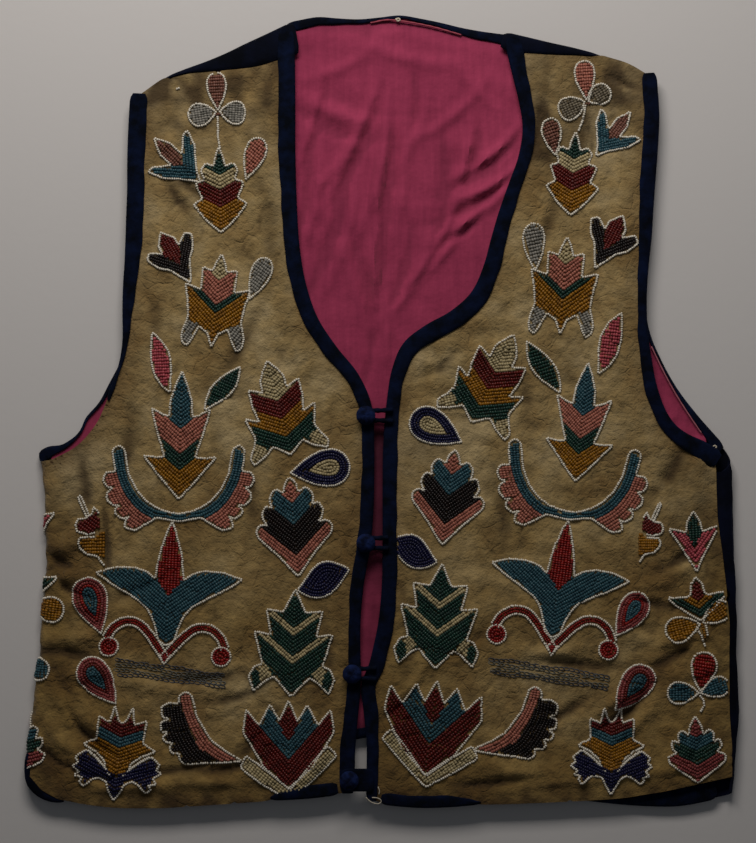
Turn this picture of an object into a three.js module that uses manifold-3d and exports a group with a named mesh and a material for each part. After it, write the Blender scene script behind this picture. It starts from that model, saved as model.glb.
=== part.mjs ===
// A beaded hide vest, buttoned and laid flat with its fronts up.
// Millimetres, +Z up, +Y towards the neck; left and right are as seen from above, with +X to the right.
// Every edge table runs counter-clockwise round its piece, so the cloth is on the left of the path.
import * as THREE from "three";
import { mergeVertices } from "three/addons/utils/BufferGeometryUtils.js";
import Module from "manifold-3d";

const wasm = await Module();
wasm.setup();

// Driving dimensions: walls of the four cloths, and the gap that stands for a sewn seam.
const hideWall = 1.8;
const velvetWall = 1.2;
const cottonWall = 1.0;
const bindingWall = 1.0;
const seamGap = 0.3;

// Levels from the ground up, at the bound edges: the back's binding takes in the back and its lining,
// and the fronts' binding, which takes in the hide, lies on top of it.
const inBinding = bindingWall + seamGap;
const backAtEdge = inBinding;
const liningAtEdge = backAtEdge + velvetWall + seamGap;
const backBindingTop = liningAtEdge + cottonWall + inBinding;
const frontBindingFoot = backBindingTop + seamGap;
const hideAtEdge = frontBindingFoot + inBinding;
const hideTop = hideAtEdge + hideWall;
const frontBindingTop = hideTop + inBinding;
const liningInside = 2.1;

// The two side folds: half an ellipse from the fronts' top face to the ground.
const foldReach = 5;
const foldArc = (Math.PI * (foldReach + hideTop / 2)) / 2;

// Bindings.
const legUnder = 8;
const shoulderUnder = 12;
const turnedStrip = { from: 1.2, to: 8.5, sink: 0.05 };

// Distances from a bound edge over which a panel comes down to its own level.
const hideEase = { from: 18, to: 60 };
const backEase = { from: 34, to: 64 };

// Cell sizes of the cloth grids.
const hideCell = 24;
const plainCell = 58;

const button = { radius: 6.3, dome: 4, shank: 2.2, shankHeight: 2.5, sides: 14 };
const loopCord = { radius: 1, sides: 6, steps: 14, clear: 0.3 };
const tab = { overlap: 5, height: 15, wall: 1.6, slit: 2.7 };

const colours = {
  hide: 0xb39d6c,
  velvet: 0x161b33,
  binding: 0x18203f,
  cotton: 0xa63a5c,
  button: 0x1d2b52,
};

// Side folds: x of the fold's outermost line and x of the side seam, which lies under the left fold
// and on top, just inside the fold, at the right.
const sideLeft = [
  { y: -28, fold: -226.5, seam: -221.5 },
  { y: -50, fold: -223.5, seam: -212 },
  { y: -72, fold: -223, seam: -205 },
  { y: -100, fold: -222, seam: -203.5 },
  { y: -130, fold: -224.5, seam: -204 },
  { y: -160, fold: -227, seam: -205.5 },
  { y: -190, fold: -230.5, seam: -208.5 },
  { y: -225, fold: -234.5, seam: -212.5 },
  { y: -245, fold: -236, seam: -214 },
  { y: -262, fold: -236, seam: -214 },
];
const sideRight = [
  { y: -20, fold: 228, seam: 219 },
  { y: -40, fold: 231, seam: 220 },
  { y: -70, fold: 231.8, seam: 221 },
  { y: -92, fold: 232.6, seam: 224 },
  { y: -117, fold: 234, seam: 227 },
  { y: -140, fold: 234.2, seam: 229 },
  { y: -170, fold: 234.4, seam: 228.8 },
  { y: -198, fold: 236, seam: 229 },
  { y: -221, fold: 234, seam: 230.5 },
  { y: -241, fold: 233, seam: 230.5 },
  { y: -262, fold: 230, seam: 228 },
];

// Front and neck edges: show is the width of binding that lies on the face of the hide.
const edgeLeft = [
  { x: -18, y: -252, show: 10 },
  { x: -18, y: -220, show: 10 },
  { x: -16, y: -195, show: 9 },
  { x: -15, y: -145, show: 7.5 },
  { x: -12, y: -112, show: 8.5 },
  { x: -7, y: -82, show: 9.5 },
  { x: -5.5, y: -46, show: 8.5 },
  { x: -5.5, y: -20, show: 8 },
  { x: -6.5, y: 0, show: 8 },
  { x: -10, y: 15, show: 8.5 },
  { x: -18, y: 27, show: 9 },
  { x: -31.5, y: 44, show: 9.5 },
  { x: -43, y: 62, show: 9.5 },
  { x: -50.5, y: 84, show: 10 },
  { x: -54.5, y: 107, show: 10 },
  { x: -56.5, y: 137, show: 10.5 },
  { x: -57.5, y: 175, show: 11 },
  { x: -57.5, y: 210, show: 11 },
  { x: -58, y: 246, show: 11 },
];
const edgeRight = [
  { x: 80.5, y: 243, show: 10.5 },
  { x: 84, y: 228, show: 10 },
  { x: 88.5, y: 210, show: 9 },
  { x: 92, y: 192, show: 8.5 },
  { x: 92, y: 178, show: 8.5 },
  { x: 88, y: 163, show: 8.5 },
  { x: 81, y: 144, show: 9.5 },
  { x: 75, y: 126, show: 9.5 },
  { x: 70, y: 108, show: 10 },
  { x: 66, y: 94, show: 11 },
  { x: 59, y: 79, show: 11.5 },
  { x: 48, y: 68, show: 12 },
  { x: 29, y: 57, show: 12 },
  { x: 17.5, y: 49, show: 11.5 },
  { x: 9.5, y: 38, show: 10 },
  { x: 5, y: 22, show: 9 },
  { x: 2.5, y: 4, show: 9 },
  { x: 0.5, y: -20, show: 10 },
  { x: 0, y: -50, show: 9.5 },
  { x: 0, y: -90, show: 9 },
  { x: -0.5, y: -115, show: 10 },
  { x: -3, y: -145, show: 10.5 },
  { x: -9, y: -172, show: 9.5 },
  { x: -12, y: -195, show: 10 },
  { x: -10.5, y: -220, show: 8 },
  { x: -11, y: -257, show: 8 },
];

// Armholes of the fronts.
const armLeft = [
  { x: -167, y: 201.5, show: 12 },
  { x: -168.5, y: 170, show: 12 },
  { x: -168.5, y: 150, show: 12 },
  { x: -170.5, y: 120, show: 11.5 },
  { x: -172.5, y: 95, show: 10 },
  { x: -173.5, y: 75, show: 8 },
  { x: -176, y: 50, show: 4.5 },
  { x: -180.5, y: 30, show: 3 },
  { x: -186.5, y: 8, show: 3 },
  { x: -190.5, y: -6, show: 3 },
  { x: -197, y: -16, show: 3 },
  { x: -208, y: -26, show: 3 },
  { x: -219, y: -31, show: 3 },
];
const armRight = [
  { x: 219, y: -28.5, show: 11 },
  { x: 207, y: -21.5, show: 9.5 },
  { x: 194, y: -10, show: 9 },
  { x: 186, y: 2, show: 8.5 },
  { x: 181, y: 17, show: 8.5 },
  { x: 177.5, y: 35, show: 7.5 },
  { x: 175, y: 55, show: 7 },
  { x: 174.5, y: 82, show: 6.5 },
  { x: 177.5, y: 113, show: 8.5 },
  { x: 179.2, y: 140, show: 10 },
  { x: 181.5, y: 170, show: 10.5 },
  { x: 182.7, y: 200, show: 10.5 },
  { x: 181.5, y: 214, show: 10 },
];

// Armholes of the back, which show past the fronts' only near the underarms.
const backArmLeft = [
  { x: -165, y: 190, show: 7 },
  { x: -166.5, y: 170, show: 7 },
  { x: -166.5, y: 150, show: 7 },
  { x: -168.5, y: 120, show: 7 },
  { x: -170.5, y: 95, show: 6 },
  { x: -172, y: 75, show: 5 },
  { x: -174.5, y: 50, show: 4 },
  { x: -179.5, y: 30, show: 3 },
  { x: -186.5, y: 9, show: 3 },
  { x: -193, y: -7.5, show: 2 },
  { x: -204, y: -18.5, show: 2 },
  { x: -215, y: -24.5, show: 4 },
];
const backArmRight = [
  { x: 222, y: -18, show: 7 },
  { x: 211, y: -5.5, show: 5 },
  { x: 198.5, y: 9.5, show: 3 },
  { x: 188.5, y: 27, show: 2 },
  { x: 178.5, y: 46, show: 2 },
  { x: 175, y: 65, show: 4 },
  { x: 174, y: 82, show: 6 },
  { x: 175.5, y: 110, show: 7 },
  { x: 177.5, y: 140, show: 7 },
  { x: 179, y: 165, show: 7 },
  { x: 179.5, y: 205, show: 7 },
];

// Shoulder folds, where the back's velvet turns over to the front: show is its width on top, up to the
// seam with the hide.
const shoulderLeft = [
  { x: -50, y: 261, show: 19 },
  { x: -58, y: 258, show: 19 },
  { x: -70.5, y: 252, show: 18.5 },
  { x: -90, y: 243, show: 14.8 },
  { x: -110, y: 233.5, show: 8 },
  { x: -129, y: 226.5, show: 3.5 },
  { x: -139, y: 222.5, show: 2.5 },
  { x: -148, y: 218, show: 2.5 },
  { x: -156, y: 212, show: 2.5 },
  { x: -168, y: 203, show: 2.5 },
];
const shoulderRight = [
  { x: 184, y: 216, show: 2.5 },
  { x: 172, y: 224, show: 2.5 },
  { x: 160, y: 230.5, show: 2.5 },
  { x: 144, y: 235, show: 2.5 },
  { x: 133, y: 238.5, show: 3.5 },
  { x: 123, y: 240.8, show: 5 },
  { x: 108.5, y: 244, show: 7.5 },
  { x: 94, y: 247.5, show: 10 },
  { x: 84, y: 249.8, show: 11 },
  { x: 74, y: 252, show: 11 },
];
const neck = [
  { x: 79, y: 249.5, show: 7 },
  { x: 58, y: 252.5, show: 5 },
  { x: 36.5, y: 257.5, show: 3.5 },
  { x: 15, y: 261.5, show: 3 },
  { x: 8, y: 262, show: 3 },
  { x: -6, y: 260, show: 3 },
  { x: -20, y: 259.3, show: 3.5 },
  { x: -44, y: 260.8, show: 6 },
  { x: -56.5, y: 258.5, show: 7 },
];

// Hems: tuck is how far the hide's edge lies inside the binding's outer line.
const hemLeft = [
  { x: -228, y: -254, tuck: 3, show: 0 },
  { x: -214, y: -257.5, tuck: 1.5, show: 0 },
  { x: -182, y: -261.3, tuck: 0, show: 0 },
  { x: -150, y: -262, tuck: 0, show: 0 },
  { x: -126, y: -260.8, tuck: 0, show: 0 },
  { x: -82, y: -257.7, tuck: 0, show: 0 },
  { x: -70, y: -257.1, tuck: inBinding, show: 5 },
  { x: -50, y: -256, tuck: inBinding, show: 9 },
  { x: -29, y: -253.6, tuck: inBinding, show: 9 },
];
const hemRight = [
  { x: -2, y: -259.2, tuck: inBinding, show: 8 },
  { x: 5, y: -260.5, tuck: inBinding, show: 8.5 },
  { x: 25, y: -262, tuck: inBinding, show: 8.5 },
  { x: 45, y: -261.5, tuck: inBinding, show: 8 },
  { x: 58, y: -260.4, tuck: inBinding, show: 5 },
  { x: 72, y: -259.6, tuck: 0, show: 0 },
  { x: 109, y: -258.3, tuck: 0, show: 0 },
  { x: 153, y: -257, tuck: 0, show: 0 },
  { x: 172, y: -255.3, tuck: 0, show: 0 },
  { x: 189, y: -253.3, tuck: 0, show: 0 },
  { x: 218, y: -248.5, tuck: 0, show: 0 },
];
const hemBack = [
  { x: -213.4, y: -254.5, show: 7 },
  { x: -180, y: -254, show: 7 },
  { x: -130, y: -250, show: 7 },
  { x: -80, y: -241, show: 7 },
  { x: -40, y: -225, show: 7 },
  { x: -15, y: -216.5, show: 7 },
  { x: 12, y: -219, show: 7 },
  { x: 45, y: -233, show: 7 },
  { x: 80, y: -246, show: 7 },
  { x: 115, y: -255, show: 7 },
  { x: 157, y: -260.5, show: 7 },
  { x: 189, y: -262, show: 7 },
  { x: 212, y: -260, show: 7 },
  { x: 222, y: -257, show: 7 },
];

// The fronts' largest folds: soft ridges (rise over 0) and troughs, each along its own direction.
const hideFolds = [
  { x: -120, y: 150, turn: 80, length: 70, width: 22, rise: 1.1 },
  { x: -95, y: 70, turn: 115, length: 60, width: 20, rise: -0.8 },
  { x: -130, y: -20, turn: 20, length: 75, width: 24, rise: 1.2 },
  { x: -80, y: -90, turn: 70, length: 80, width: 22, rise: -0.7 },
  { x: -170, y: -120, turn: 95, length: 85, width: 24, rise: 1.3 },
  { x: -110, y: -180, turn: 5, length: 70, width: 20, rise: 0.9 },
  { x: 130, y: 140, turn: 95, length: 75, width: 22, rise: 1.2 },
  { x: 100, y: 60, turn: 60, length: 60, width: 22, rise: -0.8 },
  { x: 125, y: -30, turn: 160, length: 70, width: 22, rise: 1.1 },
  { x: 60, y: -110, turn: 85, length: 80, width: 20, rise: 0.8 },
  { x: 165, y: -130, turn: 85, length: 80, width: 26, rise: 1.2 },
  { x: 100, y: -175, turn: 170, length: 75, width: 20, rise: -0.6 },
];
const hideSag = -1.7;
const hideLowest = -2.4;
const hideHighest = 0.3;

// Buttons down the left front, and the right front's loops round them.
const closures = [
  { x: -11, y: -3, loopTo: 7 },
  { x: -11, y: -87, loopTo: 4 },
  { x: -20, y: -173, loopTo: -4 },
];
const lowestButton = { x: -22, y: -243, loopTo: -6 };

// A smooth path through a table's rows, as evenly spaced rows that keep the table's other columns.
function smooth(rows, steps) {
  const course = new THREE.CatmullRomCurve3(rows.map((row) => new THREE.Vector3(row.x, row.y, 0)));
  const others = Object.keys(rows[0]).filter((name) => name !== "x" && name !== "y");
  return Array.from({ length: steps + 1 }, (_, i) => {
    const along = course.getUtoTmapping(i / steps);
    const row = along * (rows.length - 1);
    const before = Math.min(Math.floor(row), rows.length - 2);
    const between = (column) =>
      THREE.MathUtils.lerp(rows[before][column], rows[before + 1][column], row - before);
    const { x, y } = course.getPoint(along);
    return { x, y, ...Object.fromEntries(others.map((column) => [column, between(column)])) };
  });
}

// A column's value at y, straight between a table's rows, whichever way y runs.
function valueAt(rows, y, column) {
  const sorted = [...rows].sort((a, b) => a.y - b.y);
  if (y <= sorted[0].y) return sorted[0][column];
  const above = sorted.findIndex((row) => row.y >= y);
  if (above < 0) return sorted.at(-1)[column];
  const [low, high] = [sorted[above - 1], sorted[above]];
  return low[column] + ((high[column] - low[column]) * (y - low.y)) / (high.y - low.y);
}

// The direction from each point of a path into its cloth.
function inward(path) {
  return path.map((_, i) => {
    const before = path[Math.max(i - 1, 0)];
    const after = path[Math.min(i + 1, path.length - 1)];
    const length = Math.hypot(after.x - before.x, after.y - before.y);
    return { x: (before.y - after.y) / length, y: (after.x - before.x) / length };
  });
}

// The path moved into the cloth by inset(point).
function moved(path, inset) {
  const into = inward(path);
  return path.map((point, i) => ({
    ...point,
    x: point.x + into[i].x * inset(point),
    y: point.y + into[i].y * inset(point),
  }));
}

// Where the line through a and b meets the line through c and d, and at what share of each.
function crossing(a, b, c, d) {
  const ab = { x: b.x - a.x, y: b.y - a.y };
  const cd = { x: d.x - c.x, y: d.y - c.y };
  const across = ab.x * cd.y - ab.y * cd.x;
  const first = ((c.x - a.x) * cd.y - (c.y - a.y) * cd.x) / across;
  const second = ((c.x - a.x) * ab.y - (c.y - a.y) * ab.x) / across;
  return { x: a.x + ab.x * first, y: a.y + ab.y * first, first, second };
}

// The corner of two sides that follow each other: where they cross, or where their longer ends would.
function cornerOf(side, next) {
  for (let i = side.length - 2; i >= 0; i--) {
    for (let j = 0; j < next.length - 1; j++) {
      const point = crossing(side[i], side[i + 1], next[j], next[j + 1]);
      const within = Math.min(point.first, point.second) >= 0 && Math.max(point.first, point.second) <= 1;
      if (within) return { point, last: i, first: j + 1 };
    }
  }
  const point = crossing(side.at(-2), side.at(-1), next[0], next[1]);
  return { point, last: side.length - (point.first > 1 ? 1 : 2), first: point.second < 0 ? 0 : 1 };
}

// One outline from sides that are lengthened or cut to meet at their corners.
function joined(sides) {
  const corners = sides.map((side, i) => cornerOf(side, sides[(i + 1) % sides.length]));
  return sides.flatMap((side, i) => [
    ...side.slice(corners.at(i - 1).first, corners[i].last + 1),
    corners[i].point,
  ]);
}

function distanceTo(path, x, y) {
  const steps = path.slice(1).map((b, i) => {
    const a = path[i];
    const span = (b.x - a.x) ** 2 + (b.y - a.y) ** 2;
    const share = ((x - a.x) * (b.x - a.x) + (y - a.y) * (b.y - a.y)) / span;
    const held = Math.min(Math.max(share, 0), 1);
    return Math.hypot(x - a.x - held * (b.x - a.x), y - a.y - held * (b.y - a.y));
  });
  return Math.min(...steps);
}

// 0 at a bound edge, 1 where the panel has eased away from it.
function eased(paths, { from, to }, x, y) {
  const nearest = Math.min(...paths.map((path) => distanceTo(path, x, y)));
  return THREE.MathUtils.smoothstep(nearest, from, to);
}

// A closed mesh as a solid. Each triangle has a face number of its own, so a cut keeps a grid's points.
function asSolid(geometry) {
  const bare = geometry.clone();
  bare.deleteAttribute("normal");
  bare.deleteAttribute("uv");
  const merged = mergeVertices(bare, 1e-4);
  const triVerts = new Uint32Array(merged.index.array);
  const faceID = Uint32Array.from({ length: triVerts.length / 3 }, (_, i) => i);
  const vertProperties = merged.attributes.position.array;
  return new wasm.Manifold(new wasm.Mesh({ numProp: 3, vertProperties, triVerts, faceID }));
}

function asGeometry(solid) {
  const { numProp, numVert, vertProperties, triVerts } = solid.getMesh();
  const points = new Float32Array(numVert * 3);
  for (let i = 0; i < numVert; i++) {
    points.set(vertProperties.subarray(i * numProp, i * numProp + 3), i * 3);
  }
  return new THREE.BufferGeometry()
    .setAttribute("position", new THREE.BufferAttribute(points, 3))
    .setIndex([...triVerts]);
}

// Rings of equal length joined into a closed body, with its two ends capped by the ring's own triangles.
function skinned(rings, cap) {
  const size = rings[0].length;
  const index = [];
  rings.slice(1).forEach((_, r) => {
    rings[0].forEach((__, i) => {
      const [a, b] = [r * size + i, r * size + ((i + 1) % size)];
      index.push(a, b, b + size, a, b + size, a + size);
    });
  });
  const last = (rings.length - 1) * size;
  cap.forEach(([a, b, c]) => index.push(a, c, b, last + a, last + b, last + c));
  return facingOut(
    new THREE.BufferGeometry()
      .setAttribute("position", new THREE.Float32BufferAttribute(rings.flat(2), 3))
      .setIndex(index),
  );
}

// The geometry with its faces turned round where they point into the body.
function facingOut(geometry) {
  const { position } = geometry.attributes;
  const at = (i) => new THREE.Vector3().fromBufferAttribute(position, geometry.index.array[i]);
  let volume = 0;
  for (let i = 0; i < geometry.index.count; i += 3) {
    volume += at(i).dot(at(i + 1).cross(at(i + 2)));
  }
  if (volume < 0) geometry.setIndex([...geometry.index.array].reverse());
  return geometry;
}

// A flat slab one unit thick on a grid: columns(y) gives the x of every column in the row at y.
function gridSlab(rows, columns) {
  const across = columns(rows[0]).length;
  const levels = [0, 1];
  const points = levels.flatMap((z) => rows.flatMap((y) => columns(y).map((x) => [x, y, z])));
  const at = (level, row, column) => (level * rows.length + row) * across + column;
  const index = [];
  const quad = (a, b, c, d) => index.push(a, b, c, a, c, d);
  for (let j = 0; j < rows.length - 1; j++) {
    for (let i = 0; i < across - 1; i++) {
      quad(at(1, j, i), at(1, j, i + 1), at(1, j + 1, i + 1), at(1, j + 1, i));
      quad(at(0, j, i), at(0, j + 1, i), at(0, j + 1, i + 1), at(0, j, i + 1));
    }
    quad(at(0, j, 0), at(1, j, 0), at(1, j + 1, 0), at(0, j + 1, 0));
    quad(at(0, j, across - 1), at(0, j + 1, across - 1), at(1, j + 1, across - 1), at(1, j, across - 1));
  }
  const far = rows.length - 1;
  for (let i = 0; i < across - 1; i++) {
    quad(at(0, 0, i), at(0, 0, i + 1), at(1, 0, i + 1), at(1, 0, i));
    quad(at(0, far, i), at(1, far, i), at(1, far, i + 1), at(0, far, i + 1));
  }
  return new THREE.BufferGeometry()
    .setAttribute("position", new THREE.Float32BufferAttribute(points.flat(), 3))
    .setIndex(index);
}

// A cloth panel: its outline cut from a grid in the flat, and every point put in place by
// place(x, y, outer), which gives a point of the outer face, or of the inner one a wall below it.
function panel(outline, rows, columns, place) {
  const shape = new THREE.Shape(outline.map(({ x, y }) => new THREE.Vector2(x, y)));
  const cutter = new THREE.ExtrudeGeometry(shape, { depth: 3, bevelEnabled: false }).translate(0, 0, -1);
  const cloth = asGeometry(asSolid(gridSlab(rows, columns)).intersect(asSolid(cutter)));
  const flat = cloth.attributes.position;
  for (let i = 0; i < flat.count; i++) {
    flat.setXYZ(i, ...place(flat.getX(i), flat.getY(i), flat.getZ(i) > 0.5));
  }
  return facingOut(cloth);
}

// Binding folded over an edge, or cloth turned over a fold: a C section carried along the path.
function folded(path, { foot, top, wall, under }) {
  const bevel = Math.min(1.3, (top - foot) * 0.28);
  const section = (show) => [
    [under, foot],
    [bevel, foot],
    [0, foot + bevel],
    [0, top - bevel],
    [bevel, top],
    [Math.max(show, bevel + 0.4), top],
    [Math.max(show, bevel + 0.4), top - wall],
    [wall, top - wall],
    [wall, foot + wall],
    [under, foot + wall],
  ];
  return swept(path, section);
}

// A section, which may depend on the path's column show, carried along the path.
function swept(path, section) {
  const into = inward(path);
  const rings = path.map((point, i) =>
    section(point.show).map(([u, z]) => [point.x + into[i].x * u, point.y + into[i].y * u, z]),
  );
  const flat = section(path[0].show).map(([u, z]) => new THREE.Vector2(u, z));
  const cap = THREE.ShapeUtils.triangulateShape(flat, []);
  const turned = THREE.ShapeUtils.isClockWise(flat);
  return skinned(rings, turned ? cap.map(([a, b, c]) => [a, c, b]) : cap);
}

// The part of a geometry on the left of the line from a to b.
function leftOf(geometry, a, b) {
  const reach = 400;
  const length = Math.hypot(b.x - a.x, b.y - a.y);
  const along = { x: (b.x - a.x) / length, y: (b.y - a.y) / length };
  const corner = (forth, side) =>
    new THREE.Vector2(a.x + along.x * forth + along.y * side, a.y + along.y * forth - along.x * side);
  const corners = [corner(-reach, 0), corner(-reach, reach), corner(reach, reach), corner(reach, 0)];
  const beyond = new THREE.Shape(corners);
  const cutter = new THREE.ExtrudeGeometry(beyond, { depth: 40, bevelEnabled: false }).translate(0, 0, -10);
  return asGeometry(asSolid(geometry).subtract(asSolid(cutter)));
}

// A point that goes round a side fold, by how far it is past the fold's start and below the outer face:
// straight, then half an ellipse, then straight back on the other side.
function roundFold(past, depth) {
  if (past <= 0) return { out: past, z: hideTop - depth };
  if (past >= foldArc) return { out: foldArc - past, z: depth };
  const turn = (Math.PI * past) / foldArc;
  const half = hideTop / 2;
  return { out: (foldReach - depth) * Math.sin(turn), z: half + (half - depth) * Math.cos(turn) };
}

function evenly(from, to, cell) {
  const steps = Math.max(1, Math.round(Math.abs(to - from) / cell));
  return Array.from({ length: steps + 1 }, (_, i) => from + ((to - from) * i) / steps);
}

const foldSteps = [0, 0.25, 0.5, 0.75, 1].map((share) => share * foldArc);
const flangeReach = 30;
const foldStartLeft = (y) => valueAt(sideLeft, y, "fold") + foldReach;
const foldStartRight = (y) => valueAt(sideRight, y, "fold") - foldReach;

const paths = {
  edgeLeft: smooth(edgeLeft, 22),
  edgeRight: smooth(edgeRight, 28),
  armLeft: smooth(armLeft, 13),
  armRight: smooth(armRight, 13),
  backArmLeft: smooth(backArmLeft, 11),
  backArmRight: smooth(backArmRight, 11),
  shoulderLeft: smooth(shoulderLeft, 9),
  shoulderRight: smooth(shoulderRight, 9),
  neck: smooth(neck, 10),
  hemLeft: smooth(hemLeft, 14),
  hemRight: smooth(hemRight, 14),
  hemBack: smooth(hemBack, 17),
};
const inBound = (path) => moved(path, () => inBinding);

// The grid's columns for a panel with a fold at one side (side is -1 at the left, 1 at the right):
// over the flange, round the fold, then evenly to the far edge.
function columnsFrom(startAt, side, farEdge, cell) {
  const plain = Math.round(Math.abs(farEdge - startAt(0)) / cell);
  return (y) => {
    const start = startAt(y);
    const turned = [foldArc + flangeReach, ...[...foldSteps].reverse()].map((past) => start + side * past);
    const flat = Array.from({ length: plain }, (_, i) => start + ((farEdge - start) * (i + 1)) / plain);
    const row = [...turned, ...flat];
    return side < 0 ? row : row.reverse();
  };
}

// Height that the fronts' folds add at a point.
function hideRelief(x, y) {
  const height = hideFolds.reduce((sum, fold) => {
    const angle = THREE.MathUtils.degToRad(fold.turn);
    const along = (x - fold.x) * Math.cos(angle) + (y - fold.y) * Math.sin(angle);
    const across = (y - fold.y) * Math.cos(angle) - (x - fold.x) * Math.sin(angle);
    return sum + fold.rise * Math.exp(-((along / fold.length) ** 2) - (across / fold.width) ** 2);
  }, hideSag);
  return THREE.MathUtils.clamp(height, hideLowest, hideHighest);
}

// The grid's rows: those of a side table, then evenly up to the shoulders.
function rowsFrom(side, cell) {
  const lowest = -275;
  const turned = side.map(({ y }) => y).reverse();
  return [lowest, ...turned, ...evenly(turned.at(-1), 270, cell).slice(1)];
}

// A front: flat at the level of its bound edges, eased down and waved inside them, round the side fold.
function front(outline, edges, startAt, rows, side, farEdge) {
  return panel(outline, rows, columnsFrom(startAt, side, farEdge, hideCell), (x, y, upper) => {
    const start = startAt(y);
    const past = side * (x - start);
    const { out, z } = roundFold(past, upper ? 0 : hideWall);
    const inside = THREE.MathUtils.smoothstep(-past, 0, hideEase.to);
    return [start + side * out, y, z + hideRelief(x, y) * inside * eased(edges, hideEase, x, y)];
  });
}

function frontLeft() {
  const turnedHem = [
    { x: -262, y: -251 },
    { x: -246, y: -250 },
    { x: -237, y: -251 },
  ];
  const turnedArm = [
    { x: -227, y: -33.5 },
    { x: -239, y: -36 },
  ];
  const flangeEdge = sideLeft.map(({ y, seam }) => ({
    x: 2 * foldStartLeft(y) - foldArc - seam + seamGap / 2,
    y,
  }));
  const outline = joined([
    [...turnedHem, ...moved(paths.hemLeft, (point) => point.tuck)],
    inBound(paths.edgeLeft),
    moved(paths.shoulderLeft, (point) => point.show + seamGap),
    [...inBound(paths.armLeft), ...turnedArm],
    flangeEdge,
  ]);
  const edges = [paths.edgeLeft, paths.armLeft, paths.shoulderLeft, paths.hemLeft, paths.hemBack];
  return front(outline, edges, foldStartLeft, rowsFrom(sideLeft, hideCell), -1, -2);
}

function frontRight() {
  const seam = sideRight.map((row) => ({ x: row.seam - seamGap / 2, y: row.y })).reverse();
  const outline = joined([
    moved(paths.hemRight, (point) => point.tuck),
    seam,
    inBound(paths.armRight),
    moved(paths.shoulderRight, (point) => point.show + seamGap),
    inBound(paths.edgeRight),
  ]);
  const edges = [paths.edgeRight, paths.armRight, paths.shoulderRight, paths.hemRight, paths.hemBack];
  return front(outline, edges, foldStartRight, rowsFrom(sideRight, hideCell), 1, -16);
}

// The top edge that the back and its lining share, from the right shoulder to the left one.
function topEdge(shoulderInset) {
  const [stepUp, stepDown] = [79.5, -57];
  return [
    moved(paths.shoulderRight, () => shoulderInset),
    [
      { x: stepUp, y: 230 },
      { x: stepUp, y: 260 },
    ],
    inBound(paths.neck),
    [
      { x: stepDown, y: 260 },
      { x: stepDown, y: 230 },
    ],
    moved(paths.shoulderLeft, () => shoulderInset),
  ];
}

const backEdges = [paths.neck, paths.backArmLeft, paths.backArmRight, paths.hemBack];

// The back lies under everything, and goes round the right-hand side fold to its seam on top.
function back() {
  const turnedHem = [
    { x: 230, y: -254 },
    { x: 238, y: -251 },
  ];
  const turnedArm = [
    { x: 246.5, y: -38.5 },
    { x: 236, y: -37 },
    { x: 229, y: -29 },
  ];
  const rightSeam = sideRight
    .map(({ y, seam }) => ({ x: 2 * foldStartRight(y) + foldArc - seam - seamGap / 2, y }))
    .reverse();
  const leftSeam = sideLeft.map(({ y, seam }) => ({ x: seam + seamGap / 2, y }));
  const outline = joined([
    [...inBound(paths.hemBack), ...turnedHem],
    rightSeam,
    [...turnedArm, ...inBound(paths.backArmRight)],
    ...topEdge(shoulderUnder + seamGap),
    inBound(paths.backArmLeft),
    leftSeam,
  ]);
  const rows = rowsFrom(sideRight, plainCell);
  return panel(outline, rows, columnsFrom(foldStartRight, 1, -240, plainCell), (x, y, upper) => {
    const start = foldStartRight(y);
    const { out, z } = roundFold(x - start, upper ? velvetWall : 0);
    const lift = backAtEdge * (1 - eased(backEdges, backEase, x, y));
    const turned = THREE.MathUtils.clamp((x - start) / foldArc, 0, 1);
    return [start + out, y, hideTop - z + lift * (1 - turned)];
  });
}

function lining() {
  const margin = 2;
  const outline = joined([
    inBound(paths.hemBack),
    sideRight.map(({ y }) => ({ x: foldStartRight(y) - margin, y })).reverse(),
    inBound(paths.backArmRight),
    ...topEdge(shoulderUnder / 2),
    inBound(paths.backArmLeft),
    sideLeft.map(({ y }) => ({ x: foldStartLeft(y) + margin, y })),
  ]);
  const columns = evenly(-240, 240, plainCell);
  return panel(outline, evenly(-275, 270, plainCell), () => columns, (x, y, upper) => {
    const level = liningInside + (liningAtEdge - liningInside) * (1 - eased(backEdges, backEase, x, y));
    return [x, y, level + (upper ? cottonWall : 0)];
  });
}

// The back's velvet turned over a shoulder, trimmed to the fronts' armhole and neck edges.
function shoulder(path, trims) {
  const whole = folded(path, { foot: 0, top: hideTop, wall: velvetWall, under: shoulderUnder });
  return trims.reduce((cloth, [a, b]) => leftOf(cloth, a, b), whole);
}

const frontBinding = {
  foot: frontBindingFoot,
  top: frontBindingTop,
  wall: bindingWall,
  under: legUnder,
};
const backBinding = { foot: 0, top: backBindingTop, wall: bindingWall, under: legUnder };

// A front's hem binding: turned right under where it doesn't show, and round the hide's edge where it does.
function hemBinding(path) {
  const shown = path.filter((point) => point.show >= 5);
  const under = swept(path, () => [
    [turnedStrip.from, frontBindingFoot + turnedStrip.sink],
    [turnedStrip.from, frontBindingFoot + bindingWall - turnedStrip.sink],
    [turnedStrip.to, frontBindingFoot + bindingWall - turnedStrip.sink],
    [turnedStrip.to, frontBindingFoot + turnedStrip.sink],
  ]);
  return asGeometry(asSolid(under).add(asSolid(folded(shown, frontBinding))));
}

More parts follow.
